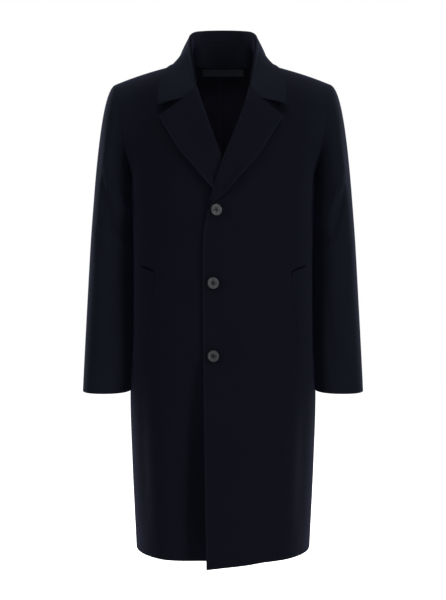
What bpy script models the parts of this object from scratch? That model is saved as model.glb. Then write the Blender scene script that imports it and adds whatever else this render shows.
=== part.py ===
"""Knee-length single-breasted wool overcoat with a notched collar, in its worn form, with nobody in it.

Metres. +X is the wearer's left, the front faces -Y and +Z is up. The origin is the middle of the neck,
level with the shoulders beside the collar. A point of a panel is given by its own side's x, counted
from the centre towards that side's seam, so both sides share their formulas.
"""
import math
from collections import namedtuple

import bmesh
import bpy
import numpy as np
from mathutils import Matrix, Vector
from mathutils.bvhtree import BVHTree

LEFT = 1
RIGHT = -1
FRONT = -1
BACK = 1

# Cloth
CLOTH = 0.0025
COLLAR_CLOTH = 0.0030
LINING_CLOTH = 0.0010
SEAM_GAP = 0.0003
REST_GAP = 0.0006

# Shoulders, armholes and hem
NECK_POINT_X = 0.078
NECK_POINT_Z = 0.000
SHOULDER_TIP_X = 0.222
SHOULDER_TIP_Z = -0.047
SHOULDER_SEAM_Y = 0.005
SHOULDER_SOFTNESS = 0.020
ARMPIT_X = 0.190
ARMPIT_Z = -0.235
ARMHOLE_REACH = 0.92
ROUNDNESS = 2.4
FRONT_ARCH = 2.0
BACK_ARCH = 3.0
HEM_Z = -1.019
HEM_DROP = 0.014
HEM_SWING = 0.180
HEM_LEVEL_X = 0.140
HEM_CURVE = 1.8

Section = namedtuple("Section", "z half_width front back")
SECTIONS = (
    Section(-0.235, 0.1900, 0.135, 0.122),
    Section(-0.420, 0.1870, 0.130, 0.112),
    Section(-0.560, 0.1885, 0.131, 0.122),
    Section(-0.700, 0.1955, 0.137, 0.136),
    Section(-0.830, 0.1925, 0.143, 0.146),
    Section(-1.020, 0.1850, 0.150, 0.155),
)

# The free edge of each front: the roll line down to the break, then the overlap
FrontEdge = namedtuple("FrontEdge", "z left right")
FRONT_EDGES = (
    FrontEdge(-0.0553, 0.0545, 0.0545),
    FrontEdge(-0.0855, 0.0465, 0.0445),
    FrontEdge(-0.1260, 0.0318, 0.0305),
    FrontEdge(-0.1900, 0.0058, 0.0065),
    FrontEdge(-0.2520, -0.0163, -0.0150),
    FrontEdge(-0.2800, -0.0235, -0.0240),
    FrontEdge(-0.3160, -0.0340, -0.0240),
    FrontEdge(-0.3450, -0.0390, -0.0240),
    FrontEdge(-0.4000, -0.0410, -0.0240),
    FrontEdge(-0.8600, -0.0366, -0.0240),
    FrontEdge(-1.0400, -0.0340, -0.0240),
)
GORGE_X = FRONT_EDGES[0].left
GORGE_Z = FRONT_EDGES[0].z
BACK_NECK_SHARE = 0.197
FRONT_NECK_CURVE = 1.6

# How far the left front stands off to pass over the right front and over its lapel's tip
OVERLAP_LIFT = 0.0038
TIP_LIFT = 0.0028
LIFT_FULL_X = 0.034
LIFT_END_X = 0.090
TIP_LIFT_Z = (-0.100, -0.185, -0.290, -0.335)

# Soft vertical folds of the hanging skirt, deepest at the hem; a hollow is positive
Fold = namedtuple("Fold", "face side x width depth top")
FOLDS = (
    Fold(FRONT, RIGHT, 0.000, 0.085, 0.038, -0.560),
    Fold(FRONT, RIGHT, 0.125, 0.024, -0.004, -0.600),
    Fold(FRONT, LEFT, 0.082, 0.022, 0.006, -0.620),
    Fold(FRONT, LEFT, 0.135, 0.022, -0.004, -0.580),
    Fold(BACK, RIGHT, 0.070, 0.026, 0.008, -0.420),
    Fold(BACK, RIGHT, 0.130, 0.026, -0.004, -0.500),
    Fold(BACK, LEFT, 0.052, 0.026, 0.007, -0.450),
    Fold(BACK, LEFT, 0.120, 0.028, 0.006, -0.520),
)

# Sleeves: inner and outer x, middle and half depth in y
SleeveSection = namedtuple("SleeveSection", "z inner outer middle half_depth")
SLEEVE_SECTIONS = (
    SleeveSection(-0.270, 0.1880, 0.2645, 0.004, 0.078),
    SleeveSection(-0.360, 0.1870, 0.2730, 0.006, 0.074),
    SleeveSection(-0.450, 0.1870, 0.2795, 0.003, 0.067),
    SleeveSection(-0.570, 0.1880, 0.2870, -0.008, 0.057),
    SleeveSection(-0.682, 0.1930, 0.2930, -0.022, 0.050),
)
SLEEVE_TOE_IN = 0.10
SLEEVE_ROUNDNESS = 2.3
CAP_STEPS = 7
ARM_STEPS = 10
CAP_SPRING = 0.36
CAP_SETTLE = 1.3
CAP_FALL = 0.55
CAP_FLARE = 0.18
FRONT_SEAM_TURN = 0.28
BACK_SEAM_TURN = 0.50
SLEEVE_SEAM_GAP = 0.0006
SLEEVE_CLEARANCE = 0.0016
SLEEVE_TOUCH_TURN = 0.75

# Soft creases at the elbow: place round the sleeve in half turns, height, fall per half turn, spread, depth
CREASE_TURNS = 0.22
Crease = namedtuple("Crease", "turn z fall spread depth")
CREASES = (
    Crease(0.46, -0.285, 0.082, 0.020, 0.0040),
    Crease(0.40, -0.345, 0.082, 0.018, 0.0030),
    Crease(0.62, -0.400, 0.060, 0.022, 0.0025),
    Crease(-0.50, -0.380, -0.068, 0.022, 0.0035),
)

# Collar, half of it, from the centre back round to the front
CurvePoint = namedtuple("CurvePoint", "x y z")
FOLD_LINE = (
    CurvePoint(0.0000, 0.0720, 0.0680),
    CurvePoint(0.0400, 0.0645, 0.0665),
    CurvePoint(0.0615, 0.0360, 0.0610),
    CurvePoint(0.0680, -0.0020, 0.0440),
    CurvePoint(0.0650, -0.0430, 0.0040),
)
# The right leaf reaches further out at its end, because the left front is pulled over
EdgePoint = namedtuple("EdgePoint", "x y z right_reach")
LEAF_EDGE = (
    EdgePoint(0.0000, 0.1000, -0.0280, 0.0),
    EdgePoint(0.0550, 0.0880, -0.0250, 0.0),
    EdgePoint(0.0900, 0.0500, -0.0150, 0.0),
    EdgePoint(0.0950, 0.0080, -0.0030, 0.0),
    EdgePoint(0.1130, -0.0350, -0.0270, 0.001),
    EdgePoint(0.1240, -0.0700, -0.0580, 0.003),
    EdgePoint(0.1250, -0.0880, -0.0905, 0.005),
)
NOTCH_SHARE = 0.38
NOTCH_COLUMN = 4
GORGE_GAP = 0.0016
LEAF_GAP = 0.0014
GORGE_RISE = 0.0068
FOLD_HALF_WIDTH = 0.0042
FOLD_DROP = 0.0036
INSIDE_DROP = 0.0280
INSIDE_DROP_FRONT = 0.0040
INSIDE_LEAN = 0.0040
LEAF_BULGE = 0.0025
COLLAR_STATIONS = 17
LEAF_COLUMNS = 8
STAND_END = 0.76
# Where each change happens along the collar, as shares of its half length
FOLD_TIPS = (0.35, 1.00)
INSIDE_SHORTENS = (0.45, 0.85)
LEAN_ENDS = (1.00, 0.50)
LEAF_FLATTENS = (0.60, 0.90)
NOTCH_BENDS = (0.72, 1.00)
GORGE_TURNS = (0.80, 1.00)
STAND_RISES = (0.30, 0.55)
STAND_ROWS = 4
STAND_SINK = 0.0022
STAND_INSET = 0.0020

# Lapels: outer edge, in each side's own x
LapelEdge = namedtuple("LapelEdge", "z left right")
LAPEL_EDGES = (
    LapelEdge(-0.1140, 0.1175, 0.1255),
    LapelEdge(-0.1380, 0.1020, 0.1110),
    LapelEdge(-0.1730, 0.0795, 0.0895),
    LapelEdge(-0.2040, 0.0560, 0.0640),
    LapelEdge(-0.2310, 0.0318, 0.0405),
    LapelEdge(-0.2600, 0.0075, 0.0140),
    LapelEdge(-0.2790, -0.0150, -0.0120),
)
LAPEL_END_Z = -0.2790
LAPEL_ROWS = 12
ROLL_SOFT = 0.0068
ROLL_FLAT = 0.0031
ROLL_FLAT_FROM = 0.55
RollColumn = namedtuple("RollColumn", "across rise")
ROLL_COLUMNS = (
    RollColumn(-0.0034, -0.20),
    RollColumn(-0.0028, 0.50),
    RollColumn(-0.0012, 0.88),
    RollColumn(0.0015, 1.00),
)
LAPEL_COLUMNS = (0.16, 0.36, 0.58, 0.80, 1.0)
LAPEL_FLAT_FROM = 0.45

# Welt pockets: inner and outer long edges at the top and the bottom
WeltEnd = namedtuple("WeltEnd", "inner_x inner_z outer_x outer_z")
WELT_TOP = WeltEnd(0.1385, -0.4250, 0.1690, -0.4180)
WELT_BOTTOM = WeltEnd(0.1545, -0.5700, 0.1790, -0.5660)
WELT_THICK = 0.0020
WELT_ROWS = 8
WELT_COLUMNS = 4

# Buttons
ButtonPlace = namedtuple("ButtonPlace", "name x z turn")  # turn in degrees, about +Z
BUTTONS = (
    ButtonPlace("button_1", -0.0120, -0.2960, -22.0),
    ButtonPlace("button_2", -0.0190, -0.4440, -8.0),
    ButtonPlace("button_3", -0.0190, -0.5920, -5.0),
)
BUTTON_GAP = 0.0003
BUTTON_RADIUS = 0.0126
BUTTON_THICK = 0.0042
BUTTON_RIM = 0.0022
BUTTON_DISH = 0.0010
BUTTON_SLOPE = 0.0013
BUTTON_ROUND = 0.0012
BUTTON_HOLE_RADIUS = 0.0012
BUTTON_HOLE_SPREAD = 0.0030
BUTTON_SIDES = 24
HOLE_SIDES = 6

# Lining and label
LINING_SKIRT_ROWS = 4
LINING_COLUMNS = 7
LINING_GAP = 0.0010
LINING_NECK_MARGIN = 1.06
LINING_NECK_LIMIT = 0.35
PLEAT_WIDTH = 0.012
PLEAT_RISE = 0.0012
LABEL_WIDTH = 0.087
LABEL_HEIGHT = 0.017
LABEL_TOP_Z = -0.0100
LABEL_THICK = 0.0008
LABEL_COLUMNS = 9

# Panel grids
NECK_ROWS = 4
YOKE_ROWS = 8
SKIRT_ROWS = 15
FRONT_COLUMNS = 13
BACK_COLUMNS = 10

Finish = namedtuple("Finish", "colour roughness metallic")
WOOL = Finish((0.0060, 0.0066, 0.0108), 0.92, 0.0)
LINING = Finish((0.0085, 0.0082, 0.0132), 0.55, 0.0)
HORN = Finish((0.0480, 0.0500, 0.0560), 0.42, 0.0)
WOVEN_LABEL = Finish((0.0300, 0.0330, 0.0400), 0.70, 0.0)


def ease(start, stop, value):
    share = min(max((value - start) / (stop - start), 0.0), 1.0)
    return share * share * (3 - 2 * share)


def signed_power(value, power):
    return math.copysign(abs(value) ** power, value)


def follow(table, column, z):
    """Value of a table's column at a height, on a smooth curve that never overshoots its rows."""
    heights = np.array([-row.z for row in table])
    values = np.array([getattr(row, column) for row in table])
    spans = np.diff(heights)
    steps = np.diff(values) / spans
    slopes = np.concatenate(([steps[0]], np.zeros(len(steps) - 1), [steps[-1]]))
    for k in range(1, len(steps)):
        if steps[k - 1] * steps[k] > 0:
            slopes[k] = 2 * steps[k - 1] * steps[k] / (steps[k - 1] + steps[k])
    at = -z
    if at <= heights[0]:
        return values[0] + slopes[0] * (at - heights[0])
    if at >= heights[-1]:
        return values[-1] + slopes[-1] * (at - heights[-1])
    k = int(np.searchsorted(heights, at)) - 1
    t = (at - heights[k]) / spans[k]
    start = (1 + 2 * t) * (1 - t) ** 2 * values[k] + t * (1 - t) ** 2 * spans[k] * slopes[k]
    stop = t * t * (3 - 2 * t) * values[k + 1] + t * t * (t - 1) * spans[k] * slopes[k + 1]
    return start + stop


class Curve:
    """Smooth curve through a few points, read by its share of the length."""

    def __init__(self, points, steps=40):
        points = np.array(points, float)
        tangents = np.gradient(points, axis=0)
        line = []
        for k in range(len(points) - 1):
            for t in np.linspace(0, 1, steps, endpoint=False):
                start = (1 + 2 * t) * (1 - t) ** 2 * points[k] + t * (1 - t) ** 2 * tangents[k]
                stop = t * t * (3 - 2 * t) * points[k + 1] + t * t * (t - 1) * tangents[k + 1]
                line.append(start + stop)
        line.append(points[-1])
        self.line = np.array(line)
        lengths = np.linalg.norm(np.diff(self.line, axis=0), axis=1)
        self.shares = np.concatenate(([0], np.cumsum(lengths))) / lengths.sum()

    def at(self, share):
        return np.array([np.interp(share, self.shares, self.line[:, axis]) for axis in range(3)])

    def tangent(self, share):
        ahead = self.at(min(share + 0.01, 1)) - self.at(max(share - 0.01, 0))
        return ahead / np.linalg.norm(ahead)


# The body of the coat: a row share of 0 is the shoulder seam, 1 the armpit and 2 the hem.

Row = namedtuple("Row", "share middle depth half_width end_x centre_z end_z")


def chest_depth(face):
    return SECTIONS[0].front if face == FRONT else SECTIONS[0].back


def row_at(face, share):
    if share > 1:
        z = ARMPIT_Z + (HEM_Z - ARMPIT_Z) * (share - 1)
        half_width = follow(SECTIONS, "half_width", z)
        depth = follow(SECTIONS, "front" if face == FRONT else "back", z)
        return Row(share, 0.0, depth, half_width, half_width, z, z)
    quarter = share * math.pi / 2
    power = 2 / (FRONT_ARCH if face == FRONT else BACK_ARCH)
    depth = chest_depth(face) * math.sin(quarter) ** power
    centre_z = ARMPIT_Z + (NECK_POINT_Z - ARMPIT_Z) * max(math.cos(quarter), 0) ** power
    end_z = SHOULDER_TIP_Z + (ARMPIT_Z - SHOULDER_TIP_Z) * (1 - math.cos(2 * quarter)) / 2
    end_x = ARMPIT_X + (SHOULDER_TIP_X - ARMPIT_X) * math.cos(quarter) ** 2
    reach = ARMHOLE_REACH * max(math.cos(quarter), 0)
    half_width = end_x / (1 - reach ** ROUNDNESS) ** (1 / ROUNDNESS)
    return Row(share, SHOULDER_SEAM_Y * (1 - share), depth, half_width, end_x, centre_z, end_z)


def shoulder_fall(x, end_x):
    """Share of the fall from the neck point to the armhole, soft at the neck."""
    def soft(reach):
        return (reach + math.hypot(reach, SHOULDER_SOFTNESS)) / 2
    return soft(abs(x) - NECK_POINT_X) / soft(end_x - NECK_POINT_X)


def hem_z(face, x):
    if face == BACK:
        return HEM_Z
    swing = (HEM_LEVEL_X - x) / HEM_SWING
    return HEM_Z - HEM_DROP * min(max(swing, 0), 1) ** HEM_CURVE


def row_height(face, row, x):
    if row.share > 1:
        return ARMPIT_Z + (hem_z(face, x) - ARMPIT_Z) * (row.share - 1)
    return row.centre_z + (row.end_z - row.centre_z) * shoulder_fall(x, row.end_x)


def row_through(face, x, z):
    """The row that passes a point of the panel."""
    if z <= ARMPIT_Z:
        return row_at(face, 1 + (z - ARMPIT_Z) / (hem_z(face, x) - ARMPIT_Z))
    low, high = 0.0, 1.0
    for _ in range(30):
        share = (low + high) / 2
        if row_height(face, row_at(face, share), x) > z:
            low = share
        else:
            high = share
    return row_at(face, (low + high) / 2)


def front_lift(side, x, z):
    if side == RIGHT:
        return 0.0
    top, full, hold, end = TIP_LIFT_Z
    lift = OVERLAP_LIFT + TIP_LIFT * (1 - ease(hold, end, z))
    return lift * ease(top, full, z) * (1 - ease(LIFT_FULL_X, LIFT_END_X, x))


def fold_depth(face, side, x, z, facing):
    total = 0.0
    for fold in FOLDS:
        if fold.face == face and fold.side == side:
            across = math.exp(-((x - fold.x) / fold.width) ** 2)
            total += fold.depth * across * ease(fold.top, HEM_Z, z)
    return total * facing


def panel_point(face, side, row, x):
    """Point of a panel's outer side on a row, at its side's own x."""
    z = row_height(face, row, x)
    facing = max(1 - (abs(x) / row.half_width) ** ROUNDNESS, 0) ** (1 / ROUNDNESS)
    out = row.depth * facing - fold_depth(face, side, x, z, facing)
    if face == FRONT:
        out += front_lift(side, x, z)
    out = max(out, SEAM_GAP / 2)
    return np.array((side * x, row.middle + face * out, z))


def panel_frame(face, side, x, z):
    """Point and outward direction of a panel at its own x and a height."""
    step = 0.0008

    def point(dx, dz):
        return panel_point(face, side, row_through(face, x + dx, z + dz), x + dx)

    across = point(step, 0) - point(-step, 0)
    down = point(0, -step) - point(0, step)
    out = np.cross(across, down)
    out /= np.linalg.norm(out)
    return point(0, 0), out if out[1] * face > 0 else -out


def front_edge_x(side, z):
    return follow(FRONT_EDGES, "left" if side == LEFT else "right", z)


def front_inner_x(side, row, gorge_share):
    """Inner end of a front's row: on the neck seam above the gorge, on the free edge below it."""
    if row.share <= gorge_share:
        turn = (row.share / gorge_share) ** FRONT_NECK_CURVE
        return NECK_POINT_X + (GORGE_X - NECK_POINT_X) * turn
    x = GORGE_X
    for _ in range(20):
        x = front_edge_x(side, row_height(FRONT, row, x))
    return x


def back_inner_x(row):
    """Inner end of a back's row: on the neck seam, then on the centre-back seam."""
    share = min(row.share / BACK_NECK_SHARE, 1)
    return max(NECK_POINT_X * math.sqrt(1 - share * share), SEAM_GAP / 2)


def row_shares(neck_share):
    neck = neck_share * np.sin(np.linspace(0, math.pi / 2, NECK_ROWS + 1))
    yoke = np.linspace(neck_share, 1, YOKE_ROWS + 1)[1:]
    skirt = np.linspace(1, 2, SKIRT_ROWS + 1)[1:]
    return np.concatenate((neck, yoke, skirt))


def angle_of(x, half_width):
    return math.asin(signed_power(min(x / half_width, 1.0), ROUNDNESS / 2))


def panel_grid(face, side, shares, inner_x, columns):
    grid = []
    for share in shares:
        row = row_at(face, share)
        start = angle_of(inner_x(row), row.half_width)
        stop = angle_of(row.end_x, row.half_width)
        line = []
        for angle in np.linspace(start, stop, columns + 1):
            x = row.half_width * signed_power(math.sin(angle), 2 / ROUNDNESS)
            line.append(panel_point(face, side, row, x))
        grid.append(line)
    return np.array(grid)


def gorge_share():
    return row_through(FRONT, GORGE_X, GORGE_Z).share


def front_grid(side):
    share = gorge_share()
    return panel_grid(FRONT, side, row_shares(share),
                      lambda row: front_inner_x(side, row, share), FRONT_COLUMNS)


def back_grid(side):
    return panel_grid(BACK, side, row_shares(BACK_NECK_SHARE), back_inner_x, BACK_COLUMNS)


# Walls

def unit(vectors):
    return vectors / np.linalg.norm(vectors, axis=-1, keepdims=True)


def normals_of(grid, towards):
    """Directions across a grid, on the side that the given direction field points to."""
    normals = unit(np.cross(np.gradient(grid, axis=0), np.gradient(grid, axis=1)))
    if (normals * towards).sum() < 0:
        normals = -normals
    return normals


def finish_material(name, finish):
    material = bpy.data.materials.new(name)
    material.use_nodes = True
    shader = material.node_tree.nodes["Principled BSDF"]
    shader.inputs["Base Color"].default_value = (*finish.colour, 1)
    shader.inputs["Roughness"].default_value = finish.roughness
    shader.inputs["Metallic"].default_value = finish.metallic
    return material


def add_object(name, form, finish, smooth_angle=math.radians(40)):
    bmesh.ops.recalc_face_normals(form, faces=form.faces)
    mesh = bpy.data.meshes.new(name)
    form.to_mesh(mesh)
    form.free()
    mesh.shade_smooth()
    mesh.set_sharp_from_angle(angle=smooth_angle)
    mesh.materials.append(finish_material(name, finish))
    thing = bpy.data.objects.new(name, mesh)
    bpy.context.collection.objects.link(thing)
    return thing


def wall(name, outer, inner, finish):
    """Closed wall between two grids of the same size."""
    rows, columns = outer.shape[:2]
    form = bmesh.new()
    faces = []
    for grid in (outer, inner):
        faces.append([[form.verts.new(point) for point in line] for line in grid])
    for sheet in faces:
        for i in range(rows - 1):
            for j in range(columns - 1):
                form.faces.new((sheet[i][j], sheet[i][j + 1], sheet[i + 1][j + 1], sheet[i + 1][j]))
    rim = [(0, j) for j in range(columns)]
    rim += [(i, columns - 1) for i in range(1, rows)]
    rim += [(rows - 1, j) for j in range(columns - 2, -1, -1)]
    rim += [(i, 0) for i in range(rows - 2, 0, -1)]
    for (i, j), (k, m) in zip(rim, rim[1:] + rim[:1]):
        form.faces.new((faces[0][i][j], faces[0][k][m], faces[1][k][m], faces[1][i][j]))
    return add_object(name, form, finish)


# Panels

def panel_wall(name, face, side, grid):
    out = np.array((side * 0.3, face, 0.2))
    normals = normals_of(grid, out)
    normals[0, :, 1] = 0
    normals[NECK_ROWS + YOKE_ROWS:, -1, 1] = 0
    if face == BACK:
        normals[NECK_ROWS:, 0, 0] = 0
    normals = unit(normals)
    wall(name, grid, grid - CLOTH * normals, WOOL)
    return normals


# Sleeves

def sleeve_point(side, z, turn):
    """Point of the arm's outer side; a turn of 0 is the inner side, 0.5 the front and 1 the outer side."""
    section = [follow(SLEEVE_SECTIONS, column, z) for column in SleeveSection._fields[1:]]
    inner, outer, middle, half_depth = section
    angle = math.pi * turn
    power = 2 / SLEEVE_ROUNDNESS
    back = -half_depth * signed_power(math.sin(angle), power)
    x = (inner + outer) / 2 - (outer - inner) / 2 * signed_power(math.cos(angle), power)
    return np.array((side * (x - SLEEVE_TOE_IN * back), middle + back, z))


def crease_depth(turn, z):
    total = 0.0
    for crease in CREASES:
        along = z - crease.z + crease.fall * (turn - crease.turn)
        near = math.exp(-((turn - crease.turn) / CREASE_TURNS) ** 2)
        total += crease.depth * near * math.exp(-(along / crease.spread) ** 2)
    return total


def armhole_turns(half):
    lengths = np.linalg.norm(np.diff(half, axis=0), axis=1)
    return np.concatenate(([0], np.cumsum(lengths))) / lengths.sum()


def sleeve_grid(side, front, back):
    """Rings from the armhole to the cuff, with each column's turn round the arm."""
    front_half = front[:NECK_ROWS + YOKE_ROWS + 1, -1][::-1]
    back_half = back[:NECK_ROWS + YOKE_ROWS + 1, -1]
    turns = np.concatenate((armhole_turns(front_half)[:-1], 1 + armhole_turns(back_half)[:-1]))
    loop = np.concatenate((front_half[:-1], back_half[:-1]))
    loop[0] = (front_half[0] + back_half[-1]) / 2
    ring_out = unit((loop - loop.mean(axis=0)) * np.array((0, 1, 1)))
    loop = loop + np.array((side * SEAM_GAP, 0, 0))
    grid = np.zeros((CAP_STEPS + ARM_STEPS + 1, len(loop), 3))
    bicep_z = SLEEVE_SECTIONS[0].z
    cuff_z = SLEEVE_SECTIONS[-1].z
    for k, turn in enumerate(turns):
        place = turn if turn <= 1 else turn - 2
        start = loop[k]
        stop = sleeve_point(side, bicep_z, place)
        reach = np.linalg.norm(stop - start)
        leave = np.array((side, 0, -CAP_FALL)) + CAP_FLARE * ring_out[k]
        leave = leave / np.linalg.norm(leave) * reach * CAP_SPRING
        arrive = sleeve_point(side, bicep_z - 0.01, place) - stop
        arrive = arrive / np.linalg.norm(arrive) * reach * CAP_SETTLE
        for i, t in enumerate(np.linspace(0, 1, CAP_STEPS + 1)):
            grid[i, k] = ((1 + 2 * t) * (1 - t) ** 2 * start + t * (1 - t) ** 2 * leave
                          + t * t * (3 - 2 * t) * stop + t * t * (t - 1) * arrive)
        for i, z in enumerate(np.linspace(bicep_z, cuff_z, ARM_STEPS + 1)):
            grid[CAP_STEPS + i, k] = sleeve_point(side, z, place)
    return grid, turns, ring_out


def ring_normals(grid):
    around = np.roll(grid, -1, axis=1) - np.roll(grid, 1, axis=1)
    normals = unit(np.cross(np.gradient(grid, axis=0), around))
    outwards = grid - grid.mean(axis=1, keepdims=True)
    return normals if (normals * outwards).sum() > 0 else -normals


def body_tree(grids):
    points = []
    faces = []
    for grid in grids:
        rows, columns = grid.shape[:2]
        base = len(points)
        points += [Vector(point) for point in grid.reshape(-1, 3)]
        for i in range(rows - 1):
            for j in range(columns - 1):
                corner = base + i * columns + j
                faces.append((corner, corner + 1, corner + columns + 1, corner + columns))
    return BVHTree.FromPolygons(points, faces)


def kept_clear(tree, point, distance, centre):
    """The point, moved out where it lies nearer to the body than the given distance."""
    place, normal, _, _ = tree.find_nearest(Vector(point))
    if normal.dot(place - Vector(centre)) < 0:
        normal = -normal
    if (Vector(point) - place).dot(normal) >= distance:
        return point
    return np.array(place + normal * distance)


def sleeve_walls(side, front, back, tree):
    tag = "left" if side == LEFT else "right"
    grid, turns, ring_out = sleeve_grid(side, front, back)
    normals = ring_normals(grid)
    for i in range(2, grid.shape[0]):
        for k, turn in enumerate(turns):
            place = turn if turn <= 1 else turn - 2
            grid[i, k] -= crease_depth(place, grid[i, k, 2]) * normals[i, k]
            if abs(place) < SLEEVE_TOUCH_TURN and grid[i, k, 2] < ARMPIT_Z:
                grid[i, k] = kept_clear(tree, grid[i, k], SLEEVE_CLEARANCE, (0, 0, grid[i, k, 2]))
    normals = ring_normals(grid)
    normals[0] = ring_out
    count = len(turns)
    first = int(np.argmin(abs(turns - FRONT_SEAM_TURN)))
    last = int(np.argmin(abs(turns - (2 - BACK_SEAM_TURN))))
    spans = {"top": list(range(first, last + 1)), "under": list(range(last, count)) + list(range(first + 1))}
    for part, columns in spans.items():
        outer = grid[:, columns].copy()
        inner = outer - CLOTH * normals[:, columns]
        for edge, beside in ((0, 1), (-1, -2)):
            inwards = unit(outer[:, beside] - outer[:, edge]) * SLEEVE_SEAM_GAP / 2
            outer[:, edge] += inwards
            inner[:, edge] += inwards
        wall(f"sleeve_{part}_{tag}", outer, inner, WOOL)


# Lapels

def on_front(side, x, z, offset):
    point, out = panel_frame(FRONT, side, x, z)
    return point + out * offset


def lapel_edge_point(side, share):
    z = LAPEL_EDGES[0].z + (LAPEL_END_Z - LAPEL_EDGES[0].z) * share
    return np.array((follow(LAPEL_EDGES, "left" if side == LEFT else "right", z), z))


def lapel_wall(side):
    tag = "left" if side == LEFT else "right"
    top = GORGE_Z - GORGE_GAP
    grid = []
    for share in np.linspace(0, 1, LAPEL_ROWS + 1):
        roll_z = top + (LAPEL_END_Z - top) * share
        roll = np.array((front_edge_x(side, roll_z), roll_z))
        edge = lapel_edge_point(side, share)
        width = np.linalg.norm(edge - roll)
        across = (edge - roll) / width
        rise = ROLL_SOFT + (ROLL_FLAT - ROLL_SOFT) * ease(0, ROLL_FLAT_FROM, share)
        line = []
        for column in ROLL_COLUMNS:
            x, z = roll + across * column.across
            line.append(on_front(side, x, z, column.rise * rise))
        start = ROLL_COLUMNS[-1].across
        for column in LAPEL_COLUMNS:
            x, z = roll + across * (start + (width - start) * column)
            settle = ease(0, LAPEL_FLAT_FROM, column)
            line.append(on_front(side, x, z, rise + (ROLL_FLAT - rise) * settle))
        grid.append(line)
    grid = np.array(grid)
    normals = normals_of(grid, np.array((0, -1, 0)))
    wall(f"lapel_{tag}", grid, grid - CLOTH * normals, WOOL)


# Collar

def collar_up(share):
    """Direction out of the fold: up at the back, out of the chest at the gorge."""
    _, out = panel_frame(FRONT, LEFT, GORGE_X, GORGE_Z)
    blend = ease(*FOLD_TIPS, share)
    up = np.array((0, 0, 1)) * (1 - blend) + out * blend
    return up / np.linalg.norm(up)


def level_of(outward):
    level = outward * np.array((1, 1, 0))
    return level / np.linalg.norm(level)


def collar_frames():
    gorge = on_front(LEFT, GORGE_X, GORGE_Z, GORGE_RISE)
    seam = on_front(LEFT, *gorge_point(LEFT, NOTCH_SHARE, 0), GORGE_RISE) - gorge
    line = Curve([*FOLD_LINE, gorge])
    frames = []
    for share in np.linspace(0, 1, COLLAR_STATIONS):
        up = collar_up(share)
        outward = unit(np.cross(up, line.tangent(share)))
        outward = unit(outward + (unit(seam) - outward) * ease(*GORGE_TURNS, share))
        if share == 0:
            outward = np.array((0.0, 1.0, 0.0))
        frames.append((share, line.at(share), up, outward))
    return frames


def inside_point(share, fold, up, outward, drop_share):
    drop = INSIDE_DROP + (INSIDE_DROP_FRONT - INSIDE_DROP) * ease(*INSIDE_SHORTENS, share)
    lean = FOLD_HALF_WIDTH + INSIDE_LEAN * ease(*LEAN_ENDS, share) * drop_share
    return fold - outward * lean - up * (FOLD_DROP + (drop - FOLD_DROP) * drop_share)


def gorge_point(side, share, lower):
    """Point of the gorge line from the roll line to the lapel's point, in the side's own x and z."""
    start = np.array((GORGE_X, GORGE_Z))
    stop = lapel_edge_point(side, 0)
    along = (stop - start) / np.linalg.norm(stop - start)
    below = np.array((along[1], -along[0]))
    return start + (stop - start) * share + below * lower


def half_collar(tree, side):
    """Grid of one half of the collar, from its inside over the fold to the leaf's edge."""
    mirror = np.array((side, 1, 1))
    leaf_edge = [(p.x + (p.right_reach if side == RIGHT else 0), p.y, p.z) for p in LEAF_EDGE]
    edge = Curve(leaf_edge)
    lying = COLLAR_CLOTH + LEAF_GAP
    notch = on_front(side, *gorge_point(side, NOTCH_SHARE, -GORGE_GAP), lying)
    notch_share = NOTCH_COLUMN / LEAF_COLUMNS
    grid = []
    for share, fold, up, outward in collar_frames():
        line = [inside_point(share, fold, up, outward, drop) * mirror for drop in (1, 0.5, 0)]
        line.append(fold * mirror)
        start = (fold + outward * FOLD_HALF_WIDTH - up * FOLD_DROP) * mirror
        stop = kept_clear(tree, edge.at(share) * mirror, lying, (0, 0, ARMPIT_Z))
        bend = (notch - (start + (stop - start) * notch_share)) * ease(*NOTCH_BENDS, share)
        for column in np.linspace(0, 1, LEAF_COLUMNS + 1):
            tent = min(column / notch_share, (1 - column) / (1 - notch_share))
            bulge = LEAF_BULGE * 4 * column * (1 - column) * (1 - ease(*LEAF_FLATTENS, share))
            point = start + (stop - start) * column + bend * tent + outward * mirror * bulge
            if column > 0:
                point = kept_clear(tree, point, lying, (0, 0, ARMPIT_Z))
            line.append(point)
        grid.append(line)
    return np.array(grid)


def both_halves(right, left):
    """One grid from two halves whose first rows lie on the centre plane."""
    return np.concatenate((right[:0:-1], left))


def collar_fall(tree):
    grid = both_halves(half_collar(tree, RIGHT), half_collar(tree, LEFT))
    normals = unit(np.cross(np.gradient(grid, axis=0), np.gradient(grid, axis=1)))
    middle = len(grid) // 2
    if normals[middle, -1, 1] < 0:
        normals = -normals
    normals[middle, :, 0] = 0
    frames = collar_frames()
    levels = np.array([level_of(outward) for _, _, _, outward in frames])
    normals[:, 0] = -both_halves(levels * np.array((-1, 1, 1)), levels)
    under = grid - COLLAR_CLOTH * unit(normals)
    leaf = grid.shape[1] - LEAF_COLUMNS - 1
    for i in range(len(grid)):
        for j in range(leaf, grid.shape[1]):
            under[i, j] = kept_clear(tree, under[i, j], LEAF_GAP, (0, 0, ARMPIT_Z))
    wall("collar_fall", grid, under, WOOL)


def neck_line(front, back):
    """The neck seam of the left side, along the panels' own edges, from the centre back to the gorge."""
    points = np.concatenate((back[NECK_ROWS::-1, 0], front[1:NECK_ROWS + 1, 0]))
    points[0, 0] = 0
    lengths = np.linalg.norm(np.diff(points, axis=0), axis=1)
    shares = np.concatenate(([0], np.cumsum(lengths))) / lengths.sum()
    return lambda share: np.array([np.interp(share, shares, points[:, axis]) for axis in range(3)])


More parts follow.
